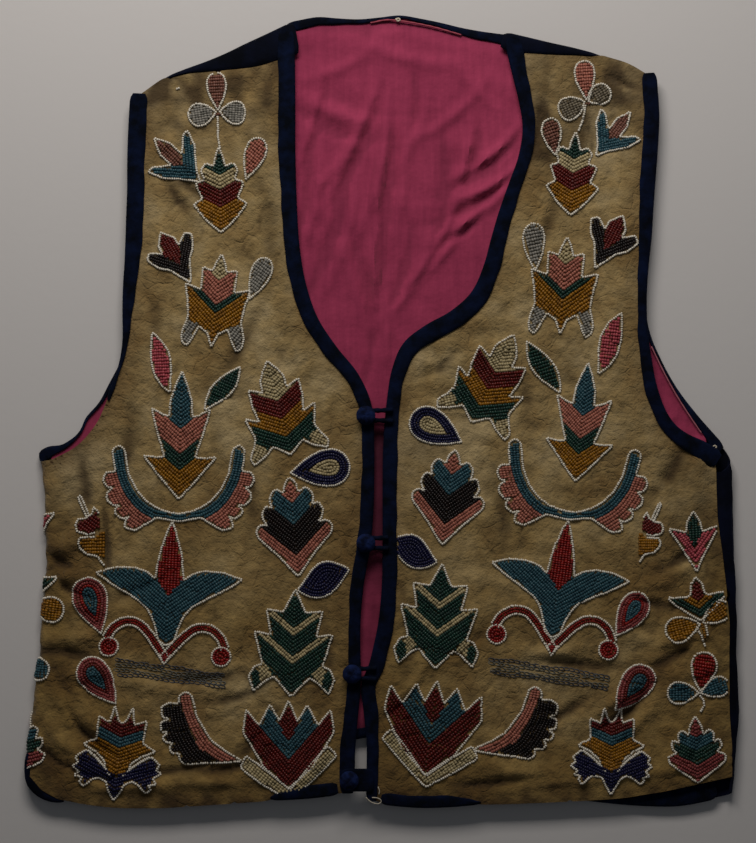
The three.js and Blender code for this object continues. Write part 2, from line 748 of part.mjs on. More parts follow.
// A cloth-covered button on its thread shank.
function coveredButton({ x, y }) {
  const { radius, dome, shank, shankHeight, sides } = button;
  const profile = [
    [0, 0],
    [shank, 0],
    [shank, shankHeight],
    [radius * 0.88, shankHeight],
    [radius, shankHeight + dome * 0.22],
    [radius * 0.93, shankHeight + dome * 0.55],
    [radius * 0.7, shankHeight + dome * 0.83],
    [radius * 0.36, shankHeight + dome * 0.96],
    [0, shankHeight + dome],
  ];
  return new THREE.LatheGeometry(profile.map(([r, z]) => new THREE.Vector2(r, z)), sides)
    .rotateX(Math.PI / 2)
    .translate(x, y, frontBindingTop + seamGap);
}

// A loop of cord round a button's shank, its two ends sewn down on the other front's binding.
function buttonLoop({ x, y, loopTo }) {
  const turn = button.shank + loopCord.clear + loopCord.radius;
  const level = frontBindingTop + seamGap + loopCord.radius;
  const round = [90, 120, 150, 180, 210, 240, 270].map((degrees) => {
    const angle = THREE.MathUtils.degToRad(degrees);
    return new THREE.Vector3(x + turn * Math.cos(angle), y + turn * Math.sin(angle), level);
  });
  const ends = [1, -1].map((side) => [
    new THREE.Vector3(loopTo, y + side * turn, level),
    new THREE.Vector3((x + loopTo) / 2, y + side * turn, level),
  ]);
  const route = new THREE.CatmullRomCurve3([...ends[0], ...round, ...ends[1].reverse()]);
  const section = new THREE.Shape(
    Array.from({ length: loopCord.sides }, (_, i) => {
      const angle = (2 * Math.PI * i) / loopCord.sides;
      return new THREE.Vector2(loopCord.radius * Math.cos(angle), loopCord.radius * Math.sin(angle));
    }),
  );
  return new THREE.ExtrudeGeometry(section, { steps: loopCord.steps, extrudePath: route });
}

// The tab with a slit that closes the fronts at the hem.
function closingTab({ x, y, loopTo }) {
  const half = tab.height / 2;
  const shape = new THREE.Shape([
    new THREE.Vector2(x - tab.overlap, y - half),
    new THREE.Vector2(loopTo, y - half),
    new THREE.Vector2(loopTo, y + half),
    new THREE.Vector2(x - tab.overlap, y + half),
  ]);
  shape.holes.push(new THREE.Path().absarc(x, y, tab.slit, 0, 2 * Math.PI, true));
  return new THREE.ExtrudeGeometry(shape, { depth: tab.wall, bevelEnabled: false, curveSegments: 8 })
    .translate(0, 0, frontBindingTop + seamGap);
}

const vest = new THREE.Group();

function addPiece(name, geometry, color, roughness) {
  const piece = new THREE.Mesh(geometry, new THREE.MeshStandardMaterial({ color, roughness, metalness: 0 }));
  piece.name = name;
  vest.add(piece);
}

const lastTwo = (path) => inBound(path).slice(-2);
const firstTwo = (path) => inBound(path).slice(0, 2);

addPiece("front_left", frontLeft(), colours.hide, 0.85);
addPiece("front_right", frontRight(), colours.hide, 0.85);
addPiece("back", back(), colours.velvet, 0.9);
addPiece("lining", lining(), colours.cotton, 0.85);
addPiece(
  "shoulder_left",
  shoulder(paths.shoulderLeft, [lastTwo(paths.edgeLeft), firstTwo(paths.armLeft)]),
  colours.velvet,
  0.9,
);
addPiece(
  "shoulder_right",
  shoulder(paths.shoulderRight, [lastTwo(paths.armRight), firstTwo(paths.edgeRight)]),
  colours.velvet,
  0.9,
);
const bindings = {
  edge_binding_left: folded(paths.edgeLeft, frontBinding),
  edge_binding_right: folded(paths.edgeRight, frontBinding),
  armhole_binding_front_left: folded(paths.armLeft, frontBinding),
  armhole_binding_front_right: folded(paths.armRight, frontBinding),
  hem_binding_left: hemBinding(paths.hemLeft),
  hem_binding_right: hemBinding(paths.hemRight),
  neck_binding: folded(paths.neck, backBinding),
  armhole_binding_back_left: folded(paths.backArmLeft, backBinding),
  armhole_binding_back_right: folded(paths.backArmRight, backBinding),
  hem_binding_back: folded(paths.hemBack, backBinding),
};
Object.entries(bindings).forEach(([name, geometry]) => addPiece(name, geometry, colours.binding, 0.9));
closures.forEach((closure, i) => {
  addPiece(`button_${i + 1}`, coveredButton(closure), colours.button, 0.8);
  addPiece(`button_loop_${i + 1}`, buttonLoop(closure), colours.binding, 0.9);
});
addPiece("button_4", coveredButton(lowestButton), colours.button, 0.8);
addPiece("closing_tab", closingTab(lowestButton), colours.binding, 0.9);

export default vest;
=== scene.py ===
import functools
import math
import bpy
import numpy as np
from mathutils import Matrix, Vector


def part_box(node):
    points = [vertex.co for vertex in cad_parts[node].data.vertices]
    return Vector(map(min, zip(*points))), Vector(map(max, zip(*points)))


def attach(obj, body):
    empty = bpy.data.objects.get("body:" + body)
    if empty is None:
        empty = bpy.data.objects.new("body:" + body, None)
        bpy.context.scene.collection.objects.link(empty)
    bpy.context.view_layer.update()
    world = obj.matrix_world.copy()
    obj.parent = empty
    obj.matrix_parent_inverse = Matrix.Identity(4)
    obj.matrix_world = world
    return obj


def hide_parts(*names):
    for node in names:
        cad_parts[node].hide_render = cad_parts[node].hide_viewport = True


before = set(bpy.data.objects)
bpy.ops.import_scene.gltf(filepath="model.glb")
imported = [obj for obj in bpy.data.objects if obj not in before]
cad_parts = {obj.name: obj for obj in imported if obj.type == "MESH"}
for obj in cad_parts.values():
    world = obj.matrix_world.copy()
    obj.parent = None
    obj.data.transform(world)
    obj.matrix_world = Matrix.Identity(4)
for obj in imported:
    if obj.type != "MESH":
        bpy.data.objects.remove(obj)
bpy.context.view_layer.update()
mm = 0.001  # every size below is in millimetres, +Z up, +Y towards the neck
pathStep = 2.5  # between the points of every edge
draws = np.random.default_rng(11)
print("frame loaded")


def smoothStep(value, low, high):
    # 0 below low, 1 above high, an S curve between
    t = np.clip((value - low) / (high - low), 0, 1)
    return t * t * (3 - 2 * t)


def curveThrough(points, steps):
    # a cubic through the points whose direction at each point is that of its neighbours
    p = np.asarray(points, float)
    q = np.concatenate([2 * p[:1] - p[1:2], p, 2 * p[-1:] - p[-2:-1]])
    a, b, c, d = q[:-3, None], q[1:-2, None], q[2:-1, None], q[3:, None]
    t = np.linspace(0, 1, steps, endpoint=False)[None, :, None]
    fine = 2 * b + (c - a) * t + (2 * a - 5 * b + 4 * c - d) * t**2 + (3 * b - 3 * c + d - a) * t**3
    return np.concatenate([0.5 * fine.reshape(-1, p.shape[1]), p[-1:]])


def sampled(points, at, count):
    # count points evenly spaced along a line whose points lie at those lengths
    wanted = np.linspace(0, at[-1], count)
    return np.stack([np.interp(wanted, at, column) for column in points.T], axis=1)


def cutEvenly(points, spacing):
    # the same broken line with its points a fixed length apart in plan
    p = np.asarray(points, float)
    at = np.concatenate([[0], np.cumsum(np.hypot(*np.diff(p[:, :2], axis=0).T))])
    return sampled(p, at, max(2, int(round(at[-1] / spacing)) + 1))


def evenPath(points, spacing=pathStep):
    return cutEvenly(curveThrough(points, 24), spacing)


def spacePath(points, spacing):
    # a smooth route in space, cut evenly by its length in plan and height
    fine = curveThrough(points, 16)
    at = np.concatenate([[0], np.cumsum(np.linalg.norm(np.diff(fine, axis=0), axis=1))])
    return sampled(fine, at, max(3, int(at[-1] / spacing)))


def headings(path):
    # unit direction along a path at each of its points
    step = np.gradient(path[:, :2], axis=0)
    return step / np.maximum(np.hypot(*step.T), 1e-9)[:, None]


def inward(path):
    # unit direction from a path into its cloth, which is on the path's left
    along = headings(path)
    return np.stack([-along[:, 1], along[:, 0]], axis=1)


def movedIn(path, inset):
    # the path moved into the cloth by inset
    made = np.array(path, float)
    made[:, :2] += inward(made) * np.broadcast_to(inset, len(made))[:, None]
    return made


def lengthened(path, before, after):
    # the path with straight ends added
    along = headings(path)
    first, last = path[:1].copy(), path[-1:].copy()
    first[:, :2] -= along[:1] * before
    last[:, :2] += along[-1:] * after
    return cutEvenly(np.concatenate([first, path, last]), pathStep)


def toLoop(loop, x, y):
    # distance to a closed outline, the nearest point on it, and whether the point is inside (odd crossings)
    a, b = loop[:, :2], np.roll(loop[:, :2], -1, axis=0)
    span = b - a
    points = np.stack([x, y], axis=1)
    distance, nearest = np.empty(len(x)), np.empty((len(x), 2))
    inside = np.empty(len(x), bool)
    for part in np.array_split(np.arange(len(x)), max(1, len(x) * len(loop) // 4000000)):
        away = points[part, None] - a
        share = np.clip((away * span).sum(-1) / np.maximum((span**2).sum(-1), 1e-12), 0, 1)
        foot = a + share[..., None] * span
        gaps = np.hypot(*np.moveaxis(points[part, None] - foot, -1, 0))
        best = gaps.argmin(1)
        distance[part] = gaps[np.arange(len(part)), best]
        nearest[part] = foot[np.arange(len(part)), best]
        py = points[part, 1:2]
        straddles = (a[:, 1] > py) != (b[:, 1] > py)
        slope = span[:, 0] / np.where(span[:, 1] == 0, 1e-12, span[:, 1])
        inside[part] = (straddles & (points[part, :1] < a[:, 0] + (py - a[:, 1]) * slope)).sum(1) % 2 == 1
    return distance, nearest, inside


def toPaths(paths, x, y):
    # distance to the nearest of several open paths
    stops = np.concatenate([cutEvenly(path[:, :2], 4) for path in paths])
    parts = np.array_split(np.stack([x, y], axis=1), max(1, len(x) * len(stops) // 4000000))
    return np.concatenate([np.hypot(*(part[:, None] - stops).T).T.min(1) for part in parts])


def facingOut(points, faces):
    # the faces turned round if they enclose a negative volume
    corners = points[faces]
    volume = sum(
        np.einsum("ij,ij->i", corners[:, 0], np.cross(corners[:, k], corners[:, k + 1])).sum()
        for k in range(1, faces.shape[1] - 1)
    )
    return faces if volume > 0 else faces[:, ::-1]


def ringFaces(rings, size, joined=False):
    # four-sided faces between closed rings of points; joined: the last ring meets the first
    at = np.arange(rings * size).reshape(rings, size)
    after = np.roll(at, -1, 0)
    faces = np.stack([at, np.roll(at, -1, 1), np.roll(after, -1, 1), after], -1)
    return (faces if joined else faces[:-1]).reshape(-1, 4)


def cappedRings(rings, first, last):
    # points and triangles of rings of points with a point that closes each end
    count, size, _ = rings.shape
    body = ringFaces(count, size)
    k = np.arange(size)
    after, tip, end = np.roll(k, -1), np.full(size, count * size), (count - 1) * size
    caps = [np.stack([after, k, tip], 1), np.stack([end + k, end + after, tip + 1], 1)]
    points = np.concatenate([rings.reshape(-1, 3), [first, last]])
    return points, np.concatenate([body[:, [0, 1, 2]], body[:, [0, 2, 3]], *caps])


def newPiece(name, points, faces, slot, stands=(), finish=None, sharpAbove=60, which=None, turned=True):
    # one object from points in millimetres and equal-sided faces, with the finish of its slot or its own;
    # it stands for the nodes in stands, and which gives each face's finish
    faces = np.asarray(faces)
    if turned:
        faces = facingOut(points, faces)
    mesh = bpy.data.meshes.new(name)
    mesh.vertices.add(len(points))
    mesh.vertices.foreach_set("co", (np.asarray(points) * mm).astype(np.float32).ravel())
    mesh.loops.add(faces.size)
    mesh.loops.foreach_set("vertex_index", faces.astype(np.int32).ravel())
    mesh.polygons.add(len(faces))
    mesh.polygons.foreach_set("loop_start", np.arange(0, faces.size, faces.shape[1], dtype=np.int32))
    mesh.polygons.foreach_set("use_smooth", np.ones(len(faces), bool))
    for each in [finish] if finish else finishes[slot]:
        mesh.materials.append(each)
    if which is not None:
        mesh.polygons.foreach_set("material_index", which.astype(np.int32))
    mesh.update(calc_edges=True)
    mesh.validate()
    if sharpAbove:
        mesh.set_sharp_from_angle(angle=math.radians(sharpAbove))
    made = bpy.data.objects.new(name, mesh)
    bpy.context.scene.collection.objects.link(made)
    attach(made, "root")
    if stands:
        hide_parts(*stands)
    return made


def setAttribute(piece, name, values):
    held = piece.data.attributes.new(name, "FLOAT", "POINT")
    held.data.foreach_set("value", np.asarray(values, np.float32))


def unevenness(seed, wavelengths, count=14):
    # a sum of plane waves in seeded directions: f(x, y) of about unit height
    own = np.random.default_rng(seed)
    turns = own.uniform(0, 2 * np.pi, count)
    sizes = own.uniform(*wavelengths, count)
    phases = own.uniform(0, 2 * np.pi, count)

    def height(x, y):
        along = x[:, None] * np.cos(turns) + y[:, None] * np.sin(turns)
        return np.sin(2 * np.pi * along / sizes + phases).sum(1) / math.sqrt(count)

    return height


def linear(hexColour):
    # an sRGB hex colour as linear red, green, blue and alpha
    values = np.array([int(hexColour[i : i + 2], 16) / 255 for i in (0, 2, 4)])
    made = np.where(values <= 0.04045, values / 12.92, ((values + 0.055) / 1.055) ** 2.4)
    return (*made.tolist(), 1)


def addNode(tree, kind, inputs=None, stops=None, **settings):
    # a node with its settings, its values or links (a node gives its first output), and its ramp's stops
    made = tree.nodes.new("ShaderNode" + kind)
    for name, value in settings.items():
        setattr(made, name, value)
    for socket, value in (inputs or {}).items():
        value = value.outputs[0] if isinstance(value, bpy.types.Node) else value
        if isinstance(value, bpy.types.NodeSocket):
            tree.links.new(value, made.inputs[socket])
        else:
            made.inputs[socket].default_value = value
    for i, (place, colour) in enumerate(stops or []):
        stop = made.color_ramp.elements[i] if i < 2 else made.color_ramp.elements.new(place)
        stop.position = place
        stop.color = linear(colour) if isinstance(colour, str) else (colour, colour, colour, 1)
    return made


def newFinish(name):
    # a new material, what adds a node to it, and the piece's own coordinates
    made = bpy.data.materials.new(name)
    made.use_nodes = True
    made.node_tree.nodes.clear()
    add = functools.partial(addNode, made.node_tree)
    return made, add, add("TexCoord").outputs["Object"]


def perMetre(size):
    # a texture's scale on Object coordinates for a pattern of that size in millimetres
    return 1 / (size * mm)


def smokedHide():
    # Brain-tanned, smoked buckskin: scraped by hand, so it is mottled, matt and napped, with dirt and
    # painted shade in its creases, painted shade along its hem, brown pits where hair roots stayed, and a
    # browner tone low down and by the edges from handling
    made, add, where = newFinish("smokedHide")
    edge, hollow, smoked = (
        add("Attribute", attribute_name=name).outputs["Fac"] for name in ("edgeWear", "hollow", "smoked")
    )
    mottle = add("TexNoise", {"Vector": where, "Scale": perMetre(42), "Detail": 6, "Roughness": 0.6})
    patches = add("TexNoise", {"Vector": where, "Scale": perMetre(10), "Detail": 6, "Roughness": 0.65})
    pale = add("ValToRGB", {"Fac": mottle}, stops=[(0.36, "937848"), (0.64, "bca77a"), (0.5, "a99160")])
    golden = add("ValToRGB", {"Fac": mottle}, stops=[(0.36, "6e5326"), (0.66, "a3874d"), (0.5, "8c703b")])
    ground = add("MixRGB", {"Fac": smoked, "Color1": pale, "Color2": golden})
    scraped = add("MapRange", {
        "Value": patches, "From Min": 0.32, "From Max": 0.68, "To Min": 0.72, "To Max": 1.22})
    base = add("VectorMath", {0: ground, "Scale": scraped}, operation="SCALE")
    dirt = add("Math", {0: edge, 1: patches}, operation="MULTIPLY")
    browned = add("MixRGB", {"Fac": dirt, "Color1": base, "Color2": linear("513618")})
    # dirt and painted shade in the creases' troughs, painted shade along the hem, and darker patches, all
    # towards 35240f
    shadedAndStained = add("MixRGB", {"Fac": hollow, "Color1": browned, "Color2": linear("35240f")})
    # pits: small dark specks, many near the armholes and the neck and a few elsewhere
    pits = add("TexVoronoi", {"Vector": where, "Scale": perMetre(3.4), "Randomness": 1})
    crowd = add("TexNoise", {"Vector": where, "Scale": perMetre(16), "Detail": 2})
    room = add("Math", {0: crowd, 1: edge, 2: -0.1}, operation="MULTIPLY_ADD")
    small = add("Math", {0: room, 1: 0.46}, operation="MULTIPLY")
    speck = add("Math", {0: small, 1: pits}, operation="SUBTRACT")
    dark = add("Math", {0: speck, 1: 9}, operation="MULTIPLY", use_clamp=True)
    shown = add("Math", {0: dark, 1: 0.8}, operation="MULTIPLY")
    pitted = add("MixRGB", {"Fac": shown, "Color1": shadedAndStained, "Color2": linear("42260f")})
    # small wrinkles 9 mm apart, and the nap, which is 0.3 mm and drawn at 1.3 mm so that it shows
    wrinkles = add("TexNoise", {"Vector": where, "Scale": perMetre(9), "Detail": 5, "Roughness": 0.58})
    swirl = add("TexNoise", {"Vector": where, "Scale": perMetre(17), "Detail": 2})
    shift = add("VectorMath", {0: swirl.outputs["Color"], "Scale": 0.03}, operation="SCALE")
    bent = add("VectorMath", {0: where, 1: shift}, operation="ADD")
    cracks = add("TexVoronoi", {"Vector": bent, "Scale": perMetre(13)}, feature="DISTANCE_TO_EDGE")
    lines = add("MapRange", {"Value": cracks, "From Max": 0.09})
    reach = add("MapRange", {
        "Value": mottle, "From Min": 0.42, "From Max": 0.57, "To Min": 0.66, "To Max": 0.06})
    crazed = add("Bump", {"Height": lines, "Strength": reach, "Distance": 0.0005})
    nap = add("TexNoise", {"Vector": where, "Scale": perMetre(1.3), "Detail": 3})
    raised = add("Bump", {"Height": wrinkles, "Strength": 1, "Distance": 0.0024, "Normal": crazed})
    napped = add("Bump", {"Height": nap, "Strength": 0.85, "Distance": 0.0005, "Normal": raised})
    shader = add("BsdfPrincipled", {
        "Base Color": pitted, "Roughness": 0.88, "Specular IOR Level": 0.2,
        "Sheen Weight": 0.12, "Sheen Roughness": 0.6, "Normal": napped})
    add("OutputMaterial", {"Surface": shader})
    return made


def pileVelvet(name, deep, rubbed, size):
    # Cotton velvet: a short woven pile that swallows light, paler and bluer where it has been rubbed
    made, add, where = newFinish(name)
    wear = add("TexNoise", {"Vector": where, "Scale": perMetre(size), "Detail": 5, "Roughness": 0.6})
    colour = add("ValToRGB", {"Fac": wear}, stops=[(0.38, deep), (0.75, rubbed)])
    pile = add("TexNoise", {"Vector": where, "Scale": perMetre(0.8), "Detail": 2})
    ridges = add("TexNoise", {"Vector": where, "Scale": perMetre(5), "Detail": 3})
    soft = add("Bump", {"Height": ridges, "Strength": 0.8, "Distance": 0.0006})
    rough = add("Bump", {"Height": pile, "Strength": 0.5, "Distance": 0.0003, "Normal": soft})
    shader = add("BsdfPrincipled", {
        "Base Color": colour, "Roughness": 0.95, "Specular IOR Level": 0.1,
        "Sheen Weight": 0.06, "Sheen Roughness": 0.45, "Sheen Tint": linear("3c62b4"), "Normal": rough})
    add("OutputMaterial", {"Surface": shader})
    return made


def liningCotton():
    # Plain-woven, piece-dyed cotton: even magenta pink, a little faded on its folds
    made, add, where = newFinish("liningCotton")
    fading = add("TexNoise", {"Vector": where, "Scale": perMetre(55), "Detail": 4})
    # painted shade in the gap between the fronts and in the folds' hollows, darker towards 3a0f20
    soiled = add("Attribute", attribute_name="soiled").outputs["Fac"]
    # uneven yarns run up and down: streaks about 4 mm wide and ten times as long
    stretched = add("VectorMath", {0: where, 1: (1, 0.1, 1)}, operation="MULTIPLY")
    yarns = add("TexNoise", {"Vector": stretched, "Scale": perMetre(4), "Detail": 4, "Roughness": 0.65})
    shade = add("Math", {0: fading, 1: yarns}, operation="ADD")
    spread = add("MapRange", {"Value": shade, "From Min": 0.5, "From Max": 1.5})
    dyed = add("ValToRGB", {"Fac": spread}, stops=[(0, "902c4e"), (1, "b94266")])
    colour = add("MixRGB", {"Fac": soiled, "Color1": dyed, "Color2": linear("3a0f20")})
    # threads 0.4 mm apart, drawn 1.3 mm apart so that they show
    ribs = {"Vector": where, "Scale": perMetre(1.3) / 20, "Distortion": 1.2, "Detail": 1}
    warp = add("TexWave", ribs, bands_direction="X")
    weft = add("TexWave", ribs, bands_direction="Y")
    weave = add("Math", {0: warp.outputs["Fac"], 1: weft.outputs["Fac"]}, operation="ADD")
    crumple = add("TexNoise", {"Vector": where, "Scale": perMetre(14), "Detail": 4, "Roughness": 0.5})
    soft = add("Bump", {"Height": crumple, "Strength": 0.7, "Distance": 0.0018})
    ribbed = add("Bump", {"Height": yarns, "Strength": 0.3, "Distance": 0.001, "Normal": soft})
    woven = add("Bump", {"Height": weave, "Strength": 0.35, "Distance": 0.0001, "Normal": ribbed})
    shader = add("BsdfPrincipled", {
        "Base Color": colour, "Roughness": 0.8, "Specular IOR Level": 0.2,
        "Sheen Weight": 0.15, "Sheen Roughness": 0.5, "Normal": woven})
    add("OutputMaterial", {"Surface": shader})
    return made


def spunThread(name, colour, thickness):
    # Two-ply cotton thread: matt, with its twist as slanting ridges
    made, add, where = newFinish(name)
    ply = add("TexWave", {"Vector": where, "Scale": perMetre(thickness) / 20, "Distortion": 2},
              bands_direction="DIAGONAL")
    twist = add("Bump", {"Height": ply.outputs["Fac"], "Strength": 0.6, "Distance": 0.0002})
    shader = add("BsdfPrincipled", {
        "Base Color": linear(colour), "Roughness": 0.85, "Specular IOR Level": 0.2, "Normal": twist})
    add("OutputMaterial", {"Surface": shader})
    return made


def seedGlass(name, colour, roughness):
    # Drawn glass seed bead, tumbled: opaque colour under a skin that is bright on some and dull on others
    made, add, where = newFinish(name)
    worn = add("TexNoise", {"Vector": where, "Scale": perMetre(2.6), "Detail": 1})
    skin = add("MapRange", {
        "Value": worn, "From Min": 0.3, "From Max": 0.7, "To Min": roughness, "To Max": roughness + 0.3})
    shader = add("BsdfPrincipled", {
        "Base Color": linear(colour), "Roughness": skin, "IOR": 1.5, "Specular IOR Level": 0.3})
    add("OutputMaterial", {"Surface": shader})
    return made


# glass colours, each in two shades as two lots of beads never match
beadColours = {
    "white": ("e9e4d6", "dcd5c4"),
    "mustard": ("91620f", "79500b"),
    "darkGreen": ("1b3a30", "142e28"),
    "teal": ("2e525c", "234550"),
    "salmon": ("aa6a58", "94594a"),
    "pink": ("b25058", "9a4049"),
    "rose": ("853d3b", "743431"),
    "red": ("871913", "70130f"),
    "redBrown": ("5e1913", "4d120e"),
    "grey": ("8a877e", "74726a"),
    "greyBrown": ("736a58", "605849"),
    "beige": ("b3a47c", "9c8e6a"),
    "navy": ("17173a", "101030"),
    "black": ("1c1412", "130e0d"),
    "brown": ("7a5042", "694437"),
}
beadNames = list(beadColours)
beadFinishes = [
    seedGlass(f"seedGlass{name[0].upper()}{name[1:]}{shade + 1}", colour, 0.22 + 0.1 * shade)
    for name, pair in beadColours.items()
    for shade, colour in enumerate(pair)
]
finishes = {
    "hide": [smokedHide()],
    "velvet": [pileVelvet("backVelvet", "05070f", "0c1228", 24)],
    "binding": [pileVelvet("bindingVelvet", "040812", "0c1836", 11)],
    "button_cloth": [pileVelvet("buttonCloth", "0a1024", "1c2c5c", 5)],
    "cotton": [liningCotton()],
    "beads": beadFinishes,
}
print("finishes made")


def pointsOf(node):
    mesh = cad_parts[node].data
    flat = np.empty(len(mesh.vertices) * 3)
    mesh.vertices.foreach_get("co", flat)
    return np.unique(np.round(flat.reshape(-1, 3) / mm, 2), axis=0)


def boxOf(node):
    # a node's lowest and highest corners in millimetres
    return (np.array(corner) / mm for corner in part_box(node))


walls = {"hide": 1.8, "velvet": 1.2, "cotton": 1.0, "binding": 1.0}  # each cloth's thickness
seamGap = 0.3  # between two cloths that meet at a seam


def boundEdge(node, start, wall):
    # The line a strip is folded over, with how far it shows on top as a third column: the strip's own
    # upright points, chained from the one nearest to start, and its inner ones at the top leg's underside.
    points = pointsOf(node)
    low, high = points[:, 2].min(), points[:, 2].max()
    bevel = min(1.3, (high - low) * 0.28)
    upright = points[abs(points[:, 2] - low - bevel) < 0.06][:, :2]
    inner = points[abs(points[:, 2] - high + wall) < 0.06][:, :2]
    chain = [upright[np.hypot(*(upright - start).T).argmin()]]
    rest = upright
    while len(rest):
        gaps = np.hypot(*(rest - chain[-1]).T)
        rest = rest[gaps > 1]
        if len(rest):
            chain.append(rest[np.hypot(*(rest - chain[-1]).T).argmin()])
    chain = np.array(chain)
    gaps = np.hypot(*(inner[:, None] - chain).T).T
    shows = np.zeros(len(chain))
    np.maximum.at(shows, gaps.argmin(1), gaps.min(1))
    known = np.flatnonzero(shows > 1.5)
    shows = np.interp(np.arange(len(chain)), known, shows[known])
    return evenPath(np.column_stack([chain, shows]))


starts = {
    "edge_binding_left": (-18, -252),
    "edge_binding_right": (80, 243),
    "armhole_binding_front_left": (-167, 201),
    "armhole_binding_front_right": (219, -28),
    "armhole_binding_back_left": (-165, 190),
    "armhole_binding_back_right": (222, -18),
    "neck_binding": (79, 249),
    "hem_binding_back": (-213, -254),
}
edges = {node: boundEdge(node, start, walls["binding"]) for node, start in starts.items()}
edges["shoulder_left"] = boundEdge("shoulder_left", (-58, 258), walls["velvet"])
edges["shoulder_right"] = boundEdge("shoulder_right", (184, 216), walls["velvet"])

# the velvet at the shoulders: wider by the neck, and nothing shows of it near the armholes, where the hide
# reaches the fold
shoulderWidening = {
    "left": [(60, 1.2), (94, 2.6), (108, 1.4), (123, 0.6), (139, 0)],
    "right": [(80, 1.5), (122, 1.2), (137, 0.3)],
}
for side, wider in shoulderWidening.items():
    shoulder = edges["shoulder_" + side]
    out = abs(shoulder[:, 0])
    shoulder[:, 2] = (shoulder[:, 2] + np.interp(out, *zip(*wider))) * (1 - smoothStep(out, 137, 146)) + 0.2

# the right armhole's front binding is broad and lies further out at its lower end
armRight = edges["armhole_binding_front_right"]
spread = 4 * smoothStep(armRight[:, 0], 192, 212)
edges["armhole_binding_front_right"] = armRight = movedIn(armRight, -spread)
armRight[:, 2] += 0.55 * spread

# edges that bow: how far into the cloth, at which y, and over what reach, each hump being
# exp(-((y - at) / reach)^2). The fronts close their gap by the third button, and at the left armhole the
# front is drawn in and the back bows out to show the lining.
bows = {
    "edge_binding_left": [(-1.3, -175, 25)],
    "edge_binding_right": [(-3.4, -182, 12), (-0.8, -150, 20)],
    "armhole_binding_front_left": [(6, 32, 32), (1.8, 98, 30)],
    "armhole_binding_back_left": [(5, 38, 20), (-4, -7, 9), (1.5, 90, 30)],
}
for node, humps in bows.items():
    y = edges[node][:, 1]
    depths = sum(depth * np.exp(-(((y - at) / reach) ** 2)) for depth, at, reach in humps)
    edges[node] = movedIn(edges[node], depths)
underLeft = edges["armhole_binding_back_left"]
cornerBlob = [(-213, -22.5, 4), (-221, -23.5, 7.5), (-227, -27, 8), (-228, -33, 7)]
underarm = evenPath(np.concatenate([underLeft[underLeft[:, 0] > -209][::2], cornerBlob]))

hideTop = list(boxOf("front_right"))[1][2]
frontFoot, frontTop = (corner[2] for corner in boxOf("edge_binding_left"))
backTop = list(boxOf("armhole_binding_back_left"))[1][2]
foldReach = 5.0  # from where a side fold starts to its outermost line
foldArc = math.pi * (foldReach + hideTop / 2) / 2  # the length of cloth round a side fold
inBinding = walls["binding"] + seamGap  # how far a cloth's edge lies inside its binding's fold

# the side folds: y, x of the fold's outermost line, x of the side seam
sideLeft = np.array([
    (-28, -226.5, -221.5), (-50, -223.5, -212), (-72, -223, -205), (-100, -222, -203.5),
    (-130, -224.5, -204), (-160, -227, -205.5), (-190, -230.5, -208.5), (-225, -234.5, -212.5),
    (-245, -236, -214), (-262, -236, -214),
])
sideRight = np.array([
    (-20, 228, 219), (-40, 231, 220), (-70, 231.8, 221), (-92, 232.6, 224), (-117, 234, 227),
    (-140, 234.2, 229), (-170, 234.4, 228.8), (-198, 236, 229), (-221, 234, 230.5), (-241, 233, 230.5),
    (-262, 230, 228),
])
# the fronts' hems: x, y, how far the hide's edge lies inside, how far the binding shows on top
hemLeft = evenPath([
    (-228, -254, 3, 0), (-214, -257.5, 1.5, 0), (-182, -261.3, 0, 0), (-150, -262, 0, 0),
    (-126, -260.8, 0, 0), (-82, -257.7, 0, 0), (-70, -257.1, inBinding, 5), (-50, -256, inBinding, 9),
    (-29, -253.6, inBinding, 9),
])
hemRight = evenPath([
    (-2, -259.2, inBinding, 8), (5, -260.5, inBinding, 8.5), (25, -262, inBinding, 8.5),
    (45, -261.5, inBinding, 8), (58, -260.4, inBinding, 5), (72, -259.6, 0, 0), (109, -258.3, 0, 0),
    (153, -255.8, 0, 0), (172, -253.2, 0, 0), (189, -250.3, 0, 0), (218, -244, 0, 0),
])


def foldStart(side, y):
    # x where a front, or the back under it, starts to turn round its side fold
    rows, turn = (sideLeft, foldReach) if side == "left" else (sideRight, -foldReach)
    return np.interp(-y, -rows[:, 0], rows[:, 1]) + turn


def pastFold(side, x, y):
    # how far a flat point lies past the fold's start
    start = foldStart(side, y)
    return start - x if side == "left" else x - start


def roundFold(past, depth):
    # out and z of a point past the fold's start and depth below the outer face: straight, then half an
    # ellipse, then straight back underneath
    turn = np.pi * np.clip(past / foldArc, 0, 1)
    half = hideTop / 2
    bend = (foldReach - depth) * np.sin(turn)
    out = np.where(past <= 0, past, np.where(past >= foldArc, foldArc - past, bend))
    return out, half + (half - depth) * np.cos(turn)


def crossingOf(a, b, c, d):
    # where the line through a and b meets the line through c and d, and its share of each
    ab, cd, ac = b - a, d - c, c - a
    across = ab[0] * cd[1] - ab[1] * cd[0]
    first = (ac[0] * cd[1] - ac[1] * cd[0]) / across
    second = (ac[0] * ab[1] - ac[1] * ab[0]) / across
    return a + ab * first, first, second


def cornerOf(side, following):
    # the corner of two sides: where they cross, or where their longer ends would
    for i in range(len(side) - 2, -1, -1):
        for j in range(min(len(following) - 1, 40)):
            point, first, second = crossingOf(side[i], side[i + 1], following[j], following[j + 1])
            if 0 <= min(first, second) and max(first, second) <= 1:
                return point, i, j + 1
    point, first, second = crossingOf(side[-2], side[-1], following[0], following[1])
    return point, len(side) - (1 if first > 1 else 2), 0 if second < 0 else 1


def joinSides(sides):
    # one outline from sides that are lengthened or cut to meet
    sides = [np.asarray(side, float)[:, :2] for side in sides]
    corners = [cornerOf(side, sides[(i + 1) % len(sides)]) for i, side in enumerate(sides)]
    pieces = [
        np.concatenate([side[corners[i - 1][2] : corners[i][1] + 1], corners[i][0][None]])
        for i, side in enumerate(sides)
    ]
    return np.concatenate(pieces)


